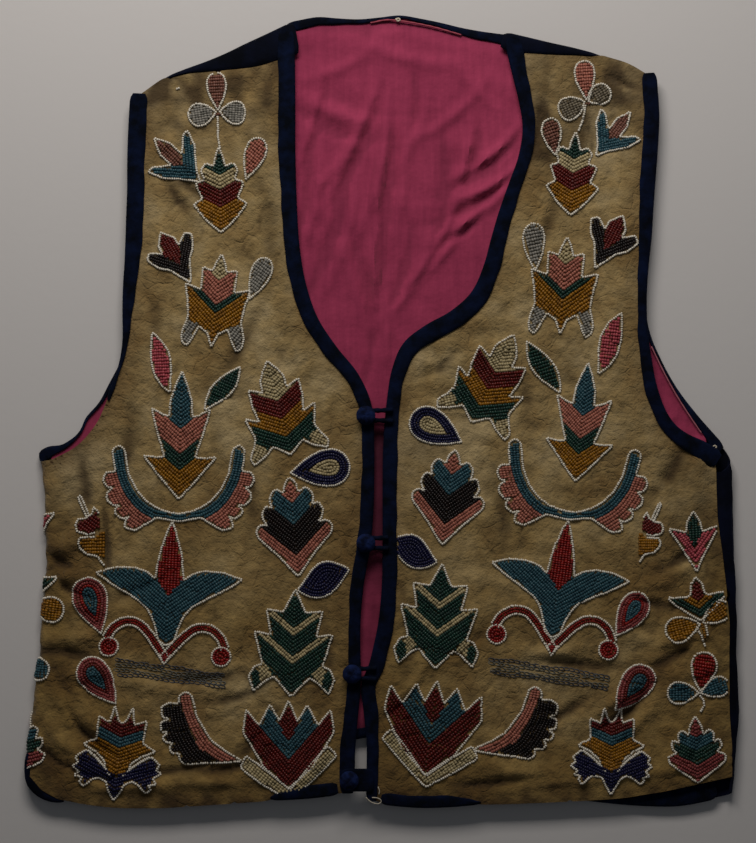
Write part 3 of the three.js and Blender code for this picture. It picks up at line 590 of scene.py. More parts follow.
def flatGrid(outline, cell):
    # A grid of triangles over the outline: points within half a cell of it move onto it, and what is
    # still outside goes. Gives the flat points, the triangles and the rim's directed edges.
    low, high = outline.min(0) - cell, outline.max(0) + cell
    nx, ny = np.ceil((high - low) / cell).astype(int) + 1
    gx, gy = np.meshgrid(low[0] + cell * np.arange(nx), low[1] + cell * np.arange(ny))
    distance, nearest, inside = toLoop(outline, gx.ravel(), gy.ravel())
    points = np.stack([gx.ravel(), gy.ravel()], axis=1)
    onEdge = distance < 0.48 * cell
    points[onEdge] = nearest[onEdge]
    kept = inside | onEdge
    at = np.arange(nx * ny).reshape(ny, nx)
    a, b, c, d = at[:-1, :-1].ravel(), at[:-1, 1:].ravel(), at[1:, 1:].ravel(), at[1:, :-1].ravel()
    useFirst = kept[a] & kept[c]
    useSecond = ~useFirst & kept[b] & kept[d]
    faces = np.concatenate([
        np.stack(corners, 1)[chosen]
        for corners, chosen in (((a, b, c), useFirst), ((a, c, d), useFirst),
                                ((b, c, d), useSecond), ((b, d, a), useSecond))])
    faces = faces[kept[faces].all(1)]
    p, q, r = points[faces[:, 0]], points[faces[:, 1]], points[faces[:, 2]]
    area = ((q - p)[:, 0] * (r - p)[:, 1] - (q - p)[:, 1] * (r - p)[:, 0]) / 2
    middle = (p + q + r) / 3
    edgeOnly = onEdge[faces].all(1)
    good = area > 0.02 * cell**2
    if edgeOnly.any():
        within = toLoop(outline, middle[edgeOnly, 0], middle[edgeOnly, 1])[2]
        good[np.flatnonzero(edgeOnly)] &= within
    faces = faces[good]
    used, faces = np.unique(faces, return_inverse=True)
    faces = faces.reshape(-1, 3)
    directed = np.concatenate([faces[:, [0, 1]], faces[:, [1, 2]], faces[:, [2, 0]]])
    key = np.sort(directed, axis=1) @ np.array([len(used), 1])
    _, first, counts = np.unique(key, return_index=True, return_counts=True)
    return points[used], faces, directed[first[counts == 1]]


def clothShell(name, outline, cell, place, slot, node, attributes=None):
    # A closed wall of cloth over an outline: place(x, y, outer) gives its outer and inner faces
    flat, faces, rim = flatGrid(outline, cell)
    outer = place(flat[:, 0], flat[:, 1], True)
    inner = place(flat[:, 0], flat[:, 1], False)
    count = len(flat)
    sides = np.concatenate([
        np.stack([rim[:, 1], rim[:, 0], rim[:, 0] + count], 1),
        np.stack([rim[:, 1], rim[:, 0] + count, rim[:, 1] + count], 1),
    ])
    walled = np.concatenate([faces, faces[:, ::-1] + count, sides])
    made = newPiece(name, np.concatenate([outer, inner]), walled, slot, [node], sharpAbove=50)
    for key, values in (attributes(flat[:, 0], flat[:, 1]) if attributes else {}).items():
        setAttribute(made, key, np.concatenate([values, values]))


# Creases placed one by one, x, y, turn in degrees, half length, half width, rise over 0 or trough under 0,
# and how far the middle bows sideways
hideCreases = np.array([
    # left front: shoulder and chest
    (-140, 178, 35, 26, 5, 0.7, 3), (-128, 148, -40, 16, 3.2, -0.7, 2), (-134, 138, -50, 15, 3.0, -0.6, 2),
    (-122, 158, -30, 15, 3.0, 0.6, 1), (-84, 190, 85, 34, 7, 0.5, 4), (-74, 120, 95, 40, 6, -0.5, 5),
    (-145, 108, 100, 36, 6, 0.5, -5), (-95, 40, 60, 30, 5, -0.5, 4), (-72, 30, 110, 28, 5, 0.5, -4),
    (-150, 55, 95, 30, 5, -0.5, 4), (-180, 2, 60, 30, 6, 0.6, 4), (-170, -30, 75, 34, 6, -0.6, 5),
    (-196, -45, 100, 30, 6, -0.8, 4), (-205, -28, 80, 28, 6, 0.7, 3), (-188, -55, 92, 26, 4.5, 0.6, 3),
    # left front: the puffy side below the armhole
    (-182, -92, 92, 26, 2.4, -1.0, 1), (-207, -88, 30, 16, 6, 1.2, 3), (-212, -100, -35, 14, 3, -1.0, 2),
    (-206, -108, 15, 14, 5, 1.0, -3), (-204, -120, -30, 16, 3, -1.1, 3), (-196, -128, -20, 16, 4.5, 0.8, 2),
    (-160, -118, 20, 22, 4, -0.7, 3), (-200, -150, 10, 20, 5, 0.8, 3), (-204, -160, -10, 20, 3, -0.9, -2),
    (-190, -172, 15, 22, 5, 0.8, 3), (-212, -180, -60, 16, 4, -0.8, 2),
    # right front: the deep one by the stem
    (104, 187, 72, 17, 5, -1.2, 3), (112, 190, 72, 15, 4, 0.6, 2),
    # left front: diagonal puffs in the lower corner
    (-207, -196, -58, 22, 5, 1.3, 4), (-200, -208, -52, 24, 2.8, -1.4, 4),
    (-192, -203, -52, 22, 4.5, 1.1, 3), (-212, -218, -45, 20, 4.5, 1.2, 3),
    (-216, -230, -35, 18, 2.8, -1.2, 3), (-205, -236, -32, 22, 4.5, 1.1, 3),
    (-190, -242, -15, 24, 3, -1.0, 3), (-160, -247, 2, 28, 4.5, 0.9, -2), (-140, -238, 8, 26, 3, -0.8, 2),
    (-112, -246, -4, 26, 4, 0.8, 2), (-100, -236, 10, 24, 2.8, -0.8, 2), (-120, -178, 5, 30, 3.5, -0.7, 2),
    (-150, -182, -8, 26, 4, 0.7, 2), (-98, -190, 15, 20, 3, -0.6, 2),
    # left front: by the front edge
    (-38, -70, 80, 24, 5, 0.6, 3), (-36, -160, 95, 30, 5, -0.6, 3), (-88, -130, 75, 30, 6, 0.6, 4),
    (-86, -62, 95, 26, 5, -0.5, 3), (-42, -232, 60, 16, 3.5, 0.7, 2), (-84, -218, 50, 20, 3.5, -0.7, 2),
    # right front: shoulder and chest
    (158, 226, -25, 16, 5, 0.9, 2), (156, 218, -28, 14, 2.8, -1.0, 2), (128, 165, 70, 30, 5, -0.5, 4),
    (160, 130, 95, 36, 6, 0.5, 4), (108, 118, 65, 24, 4, -0.5, 3), (98, 88, 80, 26, 5, 0.5, 3),
    (135, 82, 60, 20, 3, -0.6, 2), (150, 40, 95, 32, 6, 0.5, -4), (70, 40, 20, 26, 5, 0.6, 3),
    (40, 30, 35, 20, 4, -0.6, 3), (95, 8, 95, 26, 5, -0.4, 3), (28, 5, 70, 22, 4, 0.5, 3),
    # right front: the side below the armhole
    (192, -38, 60, 26, 5, -0.7, 4), (208, -48, 80, 24, 5, 0.7, 3), (188, -70, 95, 28, 5, 0.6, 3),
    (196, -98, 35, 16, 3.5, -0.8, 2), (186, -112, 20, 18, 4, 0.8, 2), (180, -128, -10, 18, 3, -0.7, 2),
    (194, -152, 10, 20, 4, 0.8, 3), (186, -166, 25, 18, 3, -0.8, 2), (206, -172, 15, 16, 4, 0.6, 2),
    # right front: around the pocket and the lower corner
    (130, -168, -6, 28, 3, -0.8, 2), (110, -160, 5, 26, 4, 0.8, 2), (155, -190, 38, 26, 4, 1.0, 3),
    (162, -198, 40, 26, 2.6, -1.0, 3), (170, -204, 42, 24, 4, 0.8, 2), (120, -200, 30, 22, 3, -0.7, 2),
    (90, -238, -6, 30, 4, 0.8, 3), (70, -246, 4, 26, 2.8, -0.8, 2), (120, -246, 5, 30, 4, 0.7, -2),
    (150, -250, 3, 26, 3, -0.7, 2), (190, -238, 12, 22, 4, 0.7, 2), (206, -226, 60, 20, 3, -0.6, 2),
    # right front: by the front edge
    (20, -62, 85, 24, 5, 0.5, 3), (18, -150, 90, 26, 4, -0.7, 3), (26, -172, 60, 16, 3, 0.6, 2),
    (10, -196, 40, 12, 3, -0.9, 1), (62, -120, 80, 30, 6, 0.6, 4), (80, -70, 95, 28, 5, -0.5, 3),
])
hideWaves = unevenness(3, (9, 26), 22)
hideSwell = unevenness(5, (45, 90), 8)
hideFolding = unevenness(12, (16, 44), 16)
hideFolded = unevenness(14, (60, 130), 8)


def creaseHeight(rows, x, y):
    # each crease is a soft ridge or trough: rise * exp(-across^2 / width^2) * exp(-along^2 / length^2),
    # across being measured from a line that bows by bow * (along / length)^2
    total = np.zeros(len(x))
    for cx, cy, turn, length, width, rise, bow in rows:
        angle = math.radians(turn)
        along = ((x - cx) * math.cos(angle) + (y - cy) * math.sin(angle)) / length
        across = (y - cy) * math.cos(angle) - (x - cx) * math.sin(angle) - bow * along**2
        total += rise * np.exp(-((across / width) ** 2) - along**2)
    return total


hideEdges = {
    side: [*(edges[name + side] for name in ("edge_binding_", "armhole_binding_front_", "shoulder_")), hem]
    for side, hem in {"left": hemLeft, "right": hemRight}.items()
}
# the hide's heights: its sag away from its bound edges and the swell over that; then what the placed
# creases, the small waves, the thin creases and the puff beside the bindings add, and the least and the most
hide = {"sag": -1.4, "swell": 0.45, "creases": 2.9, "waves": 0.25, "thin": 0.75, "puff": 0.45,
        "least": -3.2, "most": 3.4}


def hideHeights(side, x, y, past):
    # how far the hide's face stands over the level of its bound edges: a sag and swell that ease in over
    # 60 mm, and creases and unevenness that ease in just past the bindings
    gap = toPaths(hideEdges[side], x, y)
    level = hide["sag"] + hide["swell"] * hideSwell(x, y)
    level = level * smoothStep(-past, 0, 60) * smoothStep(gap, 16, 60)
    # where the folding waves cross zero runs a thin crease, deeper in the folded patches and low down
    worked = 0.25 + 0.75 * np.clip(smoothStep(hideFolded(x, y), -0.3, 0.8) + smoothStep(-y, 80, 170), 0, 1)
    thin = -hide["thin"] * worked * np.exp(-((hideFolding(x, y) / 0.13) ** 2))
    lines = hide["creases"] * creaseHeight(hideCreases, x, y) + hide["waves"] * hideWaves(x, y) + thin
    puff = hide["puff"] * smoothStep(gap, 7, 16) * (1 - smoothStep(gap, 16, 34))
    fine = (lines + puff) * smoothStep(gap, 5, 15) * (1 - smoothStep(past, foldArc * 0.45, foldArc * 0.8))
    return level, np.clip(fine, hide["least"], hide["most"]), gap


def hidePoint(side, x, y, depth):
    # a flat point of a front, put in place round its fold and raised by the hide's heights there
    start, past = foldStart(side, y), pastFold(side, x, y)
    level, fine, _ = hideHeights(side, x, y, past)
    out, z = roundFold(past, depth - fine)
    return np.stack([start - out if side == "left" else start + out, y, z + level], axis=1)


# brown patches on the hide: x, y, size and strength; the one at 108, 174 is painted shade round the drop and
# its stem
darkPatches = [
    (-146, 219, 8, 0.6), (-155, 208, 7, 0.5), (-138, 147, 8, 0.4), (-128, 214, 9, 0.3), (154, 216, 10, 0.5),
    (161, 207, 8, 0.45), (108, 174, 17, 0.7), (134, 196, 8, 0.3), (122, 30, 9, 0.25), (-100, -120, 10, 0.2),
    (150, -30, 8, 0.25), (-205, -28, 9, 0.4), (204, -76, 28, 0.35), (203, -40, 9, 0.3), (31, -26, 13, 0.35),
    (31, -145, 13, 0.3), (151, -145, 13, 0.3),
]


def hideShell(side, outline):
    def place(x, y, outer):
        return hidePoint(side, x, y, 0 if outer else walls["hide"])

    # the hide's edge wear, smoked tone, dirt and painted shade
    def wear(x, y):
        past = pastFold(side, x, y)
        _, fine, gap = hideHeights(side, x, y, past)
        armhole = "armhole_binding_front_" + side
        byArm = toPaths([edges[armhole], edges["edge_binding_" + side]], x, y)
        edgeWear = 0.12 + 0.9 * np.exp(-byArm / 13) + 0.3 * np.exp(-gap / 10)
        # dirt and painted shade in the troughs of the creases
        hollow = np.clip(-fine * 0.45, 0, 0.8) * smoothStep(gap, 3, 12)
        # darker by the shoulders, beside the side fold and in patches, and painted shade along the hem,
        # where the surface falls away
        darkening = sum(dark * np.exp(-((x - atX) ** 2 + (y - atY) ** 2) / size**2)
                      for atX, atY, size, dark in darkPatches)
        shoulder = 0.5 if side == "left" else 0.36
        darkening = darkening + shoulder * smoothStep(y, 145, 215) + 0.8 * np.exp(-(y + 261) / 13)
        darkening = darkening + 0.26 * smoothStep(past, -34, -4) * smoothStep(-y, 30, 90)
        hollow = np.clip(hollow + darkening * (1 + 0.5 * hideWaves(x, y)), 0, 0.85)
        # browner low down and by the fold, but not in the middle of each front above the hem
        low = smoothStep(-y + 22 * hideFolded(x, y), -20, 210)
        low = low - np.exp(-((abs(x) - 108) / 58) ** 2 - ((y + 186) / 30) ** 2)
        smoked = np.clip(low + 0.5 * smoothStep(past, -26, 2) * smoothStep(-y, 30, 120), 0, 1)
        return {"edgeWear": edgeWear, "hollow": hollow, "smoked": smoked}

    clothShell("hideFront" + side.capitalize(), outline, 2.1, place, "hide", "front_" + side, wear)


# the fronts' outlines in the flat, their turned-under parts unrolled;
# the left front's lower corner is cut away over the binding that turns the corner under it
cornerCut = [(-262, -235), (-246, -234), (-238, -235), (-232.5, -241), (-225, -250), (-214, -256)]
seamLeft, seamRight = sideLeft[:, 2] + seamGap / 2, sideRight[:, 2] - seamGap / 2
flangeEdge = np.column_stack([2 * foldStart("left", sideLeft[:, 0]) - foldArc - sideLeft[:, 2] + seamGap / 2,
                              sideLeft[:, 0]])
outlineLeft = joinSides([
    np.concatenate([cornerCut, movedIn(hemLeft, hemLeft[:, 2])[hemLeft[:, 0] > -206, :2]]),
    movedIn(edges["edge_binding_left"], inBinding),
    movedIn(edges["shoulder_left"], edges["shoulder_left"][:, 2] + seamGap),
    np.concatenate([movedIn(edges["armhole_binding_front_left"], inBinding)[:, :2],
                    [(-227, -33.5), (-239, -36)]]),
    flangeEdge,
])
outlineRight = joinSides([
    movedIn(hemRight, hemRight[:, 2]),
    np.column_stack([seamRight, sideRight[:, 0]])[::-1],
    movedIn(edges["armhole_binding_front_right"], inBinding),
    movedIn(edges["shoulder_right"], edges["shoulder_right"][:, 2] + seamGap),
    movedIn(edges["edge_binding_right"], inBinding),
])
hideShell("left", outlineLeft)
hideShell("right", outlineRight)
print("hide fronts made")

backNodes = ("neck_binding", "armhole_binding_back_left", "armhole_binding_back_right", "hem_binding_back")
backEdges = [edges[name] for name in backNodes]
shoulderUnder = 12.0  # how far the shoulder wedges reach back underneath
backCreases = np.array([
    (0, 120, 85, 60, 9, -0.25, 6), (-90, 20, 60, 50, 8, 0.2, 5), (110, -20, 100, 55, 9, -0.2, 6),
    (-60, -120, 15, 60, 9, 0.2, 5), (90, -170, -10, 60, 8, -0.2, 6), (-130, -200, 40, 40, 7, 0.2, 4),
])


def topEdge(inset):
    return [
        movedIn(edges["shoulder_right"], inset),
        [(79.5, 230), (79.5, 260)],
        movedIn(edges["neck_binding"], inBinding),
        [(-57, 260), (-57, 230)],
        movedIn(edges["shoulder_left"], inset),
    ]


backOutline = joinSides([
    np.concatenate([movedIn(edges["hem_binding_back"], inBinding)[:, :2], [(230, -254), (238, -251)]]),
    np.column_stack([2 * foldStart("right", sideRight[:, 0]) + foldArc - sideRight[:, 2] - seamGap / 2,
                     sideRight[:, 0]])[::-1],
    np.concatenate([[(246.5, -38.5), (236, -37), (229, -29)],
                    movedIn(edges["armhole_binding_back_right"], inBinding)[:, :2]]),
    *topEdge(shoulderUnder + seamGap),
    movedIn(edges["armhole_binding_back_left"], inBinding),
    np.column_stack([seamLeft, sideLeft[:, 0]]),
])


def backPlace(x, y, outer):
    # unrolled from underneath: its outer face is down, and it comes round the right fold to the top
    start = foldStart("right", y)
    past = x - start
    puckers = 0.5 * unevenness(8, (10, 30), 10)(x, y) * smoothStep(past, foldArc * 0.3, foldArc * 0.6)
    out, z = roundFold(past, (0 if outer else walls["velvet"]) - puckers * 0.6)
    lift = inBinding * (1 - smoothStep(toPaths(backEdges, x, y), 34, 64))
    lift = lift * (1 - np.clip(past / foldArc, 0, 1))
    soft = (0.3 + creaseHeight(backCreases, x, y)) * smoothStep(-past, 0, 40) * smoothStep(lift, 0, 1)
    return np.stack([start + out, y, hideTop - z + lift + np.maximum(soft, 0)], axis=1)


clothShell("velvetBack", backOutline, 4.5, backPlace, "velvet", "back")

liningInside, liningAtEdge = 2.1, inBinding + walls["velvet"] + seamGap
liningOutline = joinSides([
    movedIn(edges["hem_binding_back"], inBinding),
    np.column_stack([foldStart("right", sideRight[:, 0]) - 9, sideRight[:, 0]])[::-1],
    movedIn(edges["armhole_binding_back_right"], inBinding),
    *topEdge(shoulderUnder / 2),
    movedIn(edges["armhole_binding_back_left"], inBinding),
    np.column_stack([foldStart("left", sideLeft[:, 0]) + 2, sideLeft[:, 0]]),
])
# the lining's folds in the neck opening and the same kind elsewhere, listed as the hide's creases are
liningCreases = np.array([
    (8, 205, 92, 46, 9, 0.7, 5), (-2, 160, 79, 40, 3.4, 1.6, 4), (6, 158, 80, 38, 3.0, -1.3, 4),
    (14, 150, 84, 44, 4, 1.0, 5), (-30, 196, -20, 26, 4, 1.0, 3), (-34, 186, -24, 24, 3, -0.9, 3),
    (-44, 140, 80, 34, 3.2, 1.2, 3), (-50, 146, 84, 30, 2.6, -0.9, 2), (-26, 168, 58, 26, 3.6, 0.9, 3),
    (-22, 120, 76, 34, 3.4, 1.1, 3), (-29, 122, 78, 30, 2.6, -0.9, 2), (71, 168, 38, 24, 3.4, 1.5, 3),
    (68, 160, 37, 26, 2.6, -1.3, 3), (69, 147, 28, 24, 3.0, 1.6, 3), (64, 138, 32, 26, 2.4, -1.3, 3),
    (64, 130, 37, 24, 3.2, 1.5, 3), (58, 122, 42, 22, 2.6, -1.2, 3), (47, 132, 70, 26, 3.4, 1.2, 3),
    (40, 128, 74, 26, 2.6, -1.0, 3), (40, 104, 50, 28, 3.4, 1.3, 3), (33, 98, 54, 26, 2.6, -1.1, 3),
    (22, 88, 60, 32, 4, 1.3, 4), (12, 84, 72, 30, 3, -1.0, 3), (-4, 80, 95, 40, 3.8, 1.2, 4),
    (-12, 84, 100, 36, 3, -1.0, 3), (-22, 92, 108, 34, 3.8, 1.0, 3), (2, 52, 90, 30, 3.2, 1.2, 3),
    (-6, 46, 84, 26, 2.6, -1.0, 2), (24, 186, 70, 28, 4, 0.9, 4), (48, 196, 40, 26, 3.6, 0.9, 3),
    (-28, 226, 24, 24, 4, 0.8, 3), (20, 232, -12, 30, 4, 0.8, 3), (60, 214, -50, 22, 3.6, 0.9, 3),
    (-2, -60, 90, 50, 3, 1.0, 2), (-10, -170, 88, 50, 3, 1.0, 2), (205, 10, 60, 30, 4, 1.2, 4),
    (198, 0, 64, 30, 3, -1.0, 3), (212, -18, 52, 24, 3, 1.2, 3), (-178, 0, 70, 26, 4, 1.0, 3),
    (-110, 60, 80, 60, 7, 0.8, 6), (120, -100, 60, 60, 7, 0.8, 6), (-120, -130, 110, 60, 7, 0.8, 6),
    (110, 60, 100, 60, 7, 0.7, 6), (-17, 180, 67, 40, 3.2, 1.1, 2), (-12, 177, 67, 38, 3, -1.0, 2),
    (-4, 118, 86, 56, 2.8, 1.5, -2), (1, 116, 86, 54, 2.8, -1.5, -2), (18, 200, 90, 22, 2.8, 0.8, 1),
    (22, 199, 91, 22, 2.8, -1.0, 1), (57, 172, 76, 20, 2.8, 1.3, 2), (61, 168, 80, 18, 2.8, -1.3, 2),
    (40, 160, 88, 26, 2.8, -0.9, 2), (-46, 192, 75, 30, 3, 0.9, 2), (-42, 190, 75, 30, 2.8, -0.9, 2),
    (-36, 110, 72, 34, 2.8, -1.0, 2),
])
liningWaves = unevenness(21, (12, 34), 18)
# what the placed folds and the waves add to a middle height, the most, and the share that a front on top of
# them presses flat
lining = {"folds": 2.1, "waves": 0.26, "middle": 0.9, "most": 5.2, "pressed": 0.85}


def liningRise(x, y):
    # the folds' height: full in the openings, slight where a front lies on the lining
    under = np.zeros(len(x))
    for outline in (outlineLeft, outlineRight):
        gap, _, inside = toLoop(outline, x, y)
        under = np.maximum(under, inside * smoothStep(gap, 0, 12))
    gap = toPaths(backEdges, x, y)
    folds = lining["folds"] * creaseHeight(liningCreases, x, y) + lining["waves"] * liningWaves(x, y)
    folds = np.clip(folds + lining["middle"], 0, lining["most"])
    return folds * smoothStep(gap, 4, 14) * (1 - lining["pressed"] * under), gap


def liningPlace(x, y, outer):
    folds, gap = liningRise(x, y)
    level = liningInside + (liningAtEdge - liningInside) * (1 - smoothStep(gap, 34, 64))
    return np.stack([x, y, level + folds + (walls["cotton"] if outer else 0)], axis=1)


def liningShade(x, y):
    # painted shade in the gap between the fronts, most just below the first button, and in the folds'
    # hollows
    folds, gap = liningRise(x, y)
    soiled = smoothStep(-y, -10, 30) * (0.4 + 0.45 * smoothStep(y, -130, -80)) * (abs(x) < 30)
    soiled += 0.5 * np.exp(-(((y + 20) / 9) ** 2)) * (abs(x) < 30)
    return {"soiled": np.clip(soiled + 0.22 * (1 - smoothStep(folds, 0.0, 0.8)), 0, 0.92)}


clothShell("cottonLining", liningOutline, 2.6, liningPlace, "cotton", "lining", liningShade)
print("back and lining made")


# how far a strip reaches underneath, how round its fold is, the least that shows on top, and the lengths,
# over 2 pi, of the waves that make it uneven
strip = {"under": 8, "roundness": 1.7, "least": 2.0}
unevenSizes = (3.1, 5.3, 9.7, 17, 31)


def foldedStrip(name, path, foot, top, seed, nodes, cloth="binding", under=strip["under"], crown=0.25,
                ragged=0.35):
    # A strip folded over the path: along the underside, round a half ellipse, over the top with a slight
    # crown to its turned edge, and back inside one wall below. Its width and crown vary along it.
    wall = walls[cloth]
    length = np.arange(len(path))[:, None] * pathStep
    wander = np.random.default_rng(seed).uniform(0, 2 * np.pi, 5)
    uneven = sum(np.sin(length / size + phase) for size, phase in zip(unevenSizes, wander)) / 2.2
    show = np.maximum(path[:, 2:3] + ragged * uneven, strip["least"])
    half, middle = (top - foot) / 2, (top + foot) / 2
    turned = np.minimum(half, strip["roundness"])
    inner = np.maximum(turned - wall * 0.8, 0.4)
    turn = np.radians(np.linspace(-90, 90, 7))[None]
    ones = np.ones((len(path), 1))
    lift = crown * (1 + 0.55 * np.roll(uneven, 7))
    below = [ones * under, ones * (under + turned) / 2]
    above = [turned + (show - turned) * 0.35, turned + (show - turned) * 0.72]
    outerU = [*below, turned - turned * np.cos(turn) * ones, *above, show - 0.25, show]
    innerU = [*below, turned - inner * np.cos(turn) * ones, *above, show - 0.35, show - 0.15]
    outerZ = [ones * foot, ones * foot, middle + half * np.sin(turn) * ones,
              top + lift, top + lift * 0.8, top - 0.1 * ones, top - 0.55 * ones]
    innerZ = [ones * (foot + wall), ones * (foot + wall), middle + (half - wall) * np.sin(turn) * ones,
              top - wall + lift * 0.5, top - wall + lift * 0.4, top - wall * ones, top - wall * ones]
    sweptBand(name, path, outerU, outerZ, innerU, innerZ, cloth, nodes)


def sweptBand(name, path, outerU, outerZ, innerU, innerZ, cloth, nodes=()):
    # a band of cloth between an outer and an inner profile carried along the path, with closed ends
    into = inward(path)[:, None]
    u, z = (np.hstack([np.hstack(outer), np.hstack(inner)[:, ::-1]])
            for outer, inner in ((outerU, innerU), (outerZ, innerZ)))
    ends = np.minimum(np.arange(len(path)), np.arange(len(path))[::-1])[:, None]
    middle = u.max(1, keepdims=True) / 2
    # the corners at both ends are soft
    u = middle + (u - middle) * np.interp(ends, [0, 1, 2], [0.7, 0.92, 1])
    points = np.concatenate([path[:, None, :2] + into * u[..., None], z[..., None]], -1).reshape(-1, 3)
    rings, size = u.shape
    k = np.arange(size // 2 - 1)
    cap = np.stack([k, k + 1, size - 2 - k, size - 1 - k], axis=1)
    faces = np.concatenate([ringFaces(rings, size), cap[:, ::-1], cap + (rings - 1) * size])
    newPiece(name, points, faces, cloth, nodes)


# each binding: its node, what is added to its path's ends so that corners stay covered, and its seed
frontBindings = {
    "bindingEdgeLeft": ("edge_binding_left", (0, 5), 0),
    "bindingEdgeRight": ("edge_binding_right", (2, 0), 1),
    "bindingArmFrontLeft": ("armhole_binding_front_left", (8, 0), 2),
    "bindingArmFrontRight": ("armhole_binding_front_right", (4, 9), 3),
}
backBindings = {
    "bindingArmBackLeft": ("armhole_binding_back_left", None, 9),
    "bindingArmBackRight": ("armhole_binding_back_right", (7, 0), 10),
    "bindingNeck": ("neck_binding", (6, 7), 11),
    "bindingHemBack": ("hem_binding_back", (0, 0), 12),
}
for name, (node, added, seed) in frontBindings.items():
    path = lengthened(edges[node], *added)
    # below this the hide's edge is bare at the left armhole
    path = path[path[:, 1] > 6] if node.endswith("front_left") else path
    foldedStrip(name, path, frontFoot, frontTop, seed, [node])
for name, (node, added, seed) in backBindings.items():
    path = lengthened(edges[node], *added) if added else underarm
    if node == "hem_binding_back":
        # it shows below the right front
        path[:, 2] = np.interp(path[:, 0], [130, 172, 197, 231], [7, 12, 16, 18.5])
    foldedStrip(name, path, 0, backTop, seed, [node])
for side, hem in {"left": hemLeft, "right": hemRight}.items():
    # a front's hem binding is turned right under where it doesn't show, and the two overlap a little
    name = side.capitalize()
    shown = hem[hem[:, 3] >= 1.6][:, [0, 1, 3]]
    foldedStrip("bindingHem" + name, shown, frontFoot, frontTop, 31, ["hem_binding_" + side])
    hidden = hem[hem[:, 3] < 1.9][:, [0, 1, 3]]
    ones = np.ones((len(hidden), 1))
    u, outerZ, innerZ = ([ones * each for each in row] for row in (
        (1.2, 4.8, 8.5), (frontFoot + 0.95, frontFoot + 1.0, frontFoot + 0.95), [frontFoot] * 3))
    sweptBand("bindingHemUnder" + name, hidden, u, outerZ, u, innerZ, "binding")
cornerPath = [
    (-236.2, -226, 7), (-236.8, -238, 7.5), (-235, -247, 8), (-229, -254, 7), (-221, -258, 5),
    (-211, -259.5, 3.5),
]
foldedStrip("bindingCorner", evenPath(cornerPath), 1.5, 8.0, 37, [], under=6)
for side in ("left", "right"):
    path = edges["shoulder_" + side]
    level = hideTop - 3.2 * smoothStep(abs(path[:, :1]), 138, 146)
    foldedStrip("shoulderWedge" + side.capitalize(), path, 0, level, 41, ["shoulder_" + side],
                "velvet", shoulderUnder, crown=0.5, ragged=0.1)
print("bindings made")


def tube(name, route, radius, slot, stands=(), finish=None, sides=6, ply=0.15):
    # a tube round a route of points, its radius waved by ply * cos(2 * angle + twist), with closed ends
    along = np.gradient(route, axis=0)
    along /= np.linalg.norm(along, axis=1)[:, None]
    sideways = np.cross(along, [0, 0, 1.0])
    sideways /= np.maximum(np.linalg.norm(sideways, axis=1), 1e-6)[:, None]
    upward = np.cross(sideways, along)
    angle = np.linspace(0, 2 * np.pi, sides, endpoint=False)
    twist = np.arange(len(route))[:, None] * 0.9
    r = radius * (1 + ply * np.cos(2 * angle + twist))
    spread = (sideways[:, None] * (r * np.cos(angle))[..., None]
              + upward[:, None] * (r * np.sin(angle))[..., None])
    points, faces = cappedRings(route[:, None] + spread, route[0], route[-1])
    newPiece(name, points, faces, slot, stands, finish, sharpAbove=0)


# the buttons, and the turn of each one's cross of gathers in radians
buttonSize = {"radius": 6.3, "dome": 4.0, "shankHeight": 2.5, "gather": 0.55}
buttonTurns = (0.1, 0.5, 0.25, 0.8)


def coveredButton(name, node, turn):
    # Round in plan: height falls as 1 - r^2.6, less four gathers that meet in the middle as a cross;
    # its rim turns under to a shank
    low, high = boxOf(node)
    size, gathered = buttonSize, buttonSize["gather"]
    angle = np.linspace(0, 2 * np.pi, 40, endpoint=False)[None]
    r = np.array([0.12, 0.28, 0.45, 0.62, 0.78, 0.9, 0.97, 1.0])[:, None]
    cross = np.minimum(abs(np.sin(angle + turn)), abs(np.cos(angle + turn)))
    gather = gathered * np.exp(-((cross * r * 6.0) ** 2)) * (1 - 0.5 * r) * (r > 0.1)
    topZ = size["shankHeight"] + size["dome"] * (0.25 + 0.75 * (1 - r**2.6)) - gather
    under = np.array([[1.0, 0.12], [0.94, 0.03], [0.75, 0.0], [0.36, 0.0], [0.35, -0.62]])
    underZ = size["shankHeight"] + under[:, 1:] * size["dome"] * np.ones_like(angle)
    radius = np.concatenate([r * size["radius"] * (1 - 0.02 * np.cos(8 * angle) * r),
                             under[:, :1] * size["radius"] * np.ones_like(angle)])
    z = np.concatenate([topZ, underZ])
    rings = np.stack([radius * np.cos(angle), radius * np.sin(angle), z], -1)
    tips = [0, 0, size["shankHeight"] + size["dome"] - gathered * 1.1], [0, 0, z[-1, 0]]
    points, faces = cappedRings(rings, *tips)
    newPiece(name, points + [*(low + high)[:2] / 2, low[2]], faces, "button_cloth", [node], sharpAbove=70)


def cordLoop(name, node, button):
    # a cord doubled round the button's shank and sewn down on the other front
    low, high = boxOf(node)
    centre = sum(boxOf(button)) / 2
    turn = (high[1] - low[1]) / 2 - 1
    level = (low[2] + high[2]) / 2
    arc = np.radians(np.linspace(90, 270, 9))
    bend = np.stack([centre[0] + turn * np.cos(arc), centre[1] + turn * np.sin(arc), np.full(9, level)], 1)
    reach = high[0] - 0.2
    upper, lower = (
        [(reach, centre[1] + s * (turn + 0.3), level),
         ((centre[0] + reach) / 2, centre[1] + s * (turn - 0.2), level)]
        for s in (1, -1))
    route = spacePath(np.concatenate([upper, bend, lower[::-1]]), 0.7)
    tube(name, route, 1.55, "binding", [node], sides=8, ply=0.1)


for i, turn in enumerate(buttonTurns):
    coveredButton(f"button{i + 1}", f"button_{i + 1}", turn)
for i in range(1, 4):
    cordLoop(f"buttonLoop{i}", f"button_loop_{i}", f"button_{i}")


# the closing tab: its slit's radius, and its section from the outer edge to the slit: share across, height
slitRadius = 2.7
tabSection = [
    (0, 0.15), (0.08, 0), (0.5, 0), (0.92, 0), (1, 0.15), (1, 0.85), (0.92, 1), (0.5, 1.12), (0.08, 1),
    (0, 0.85),
]


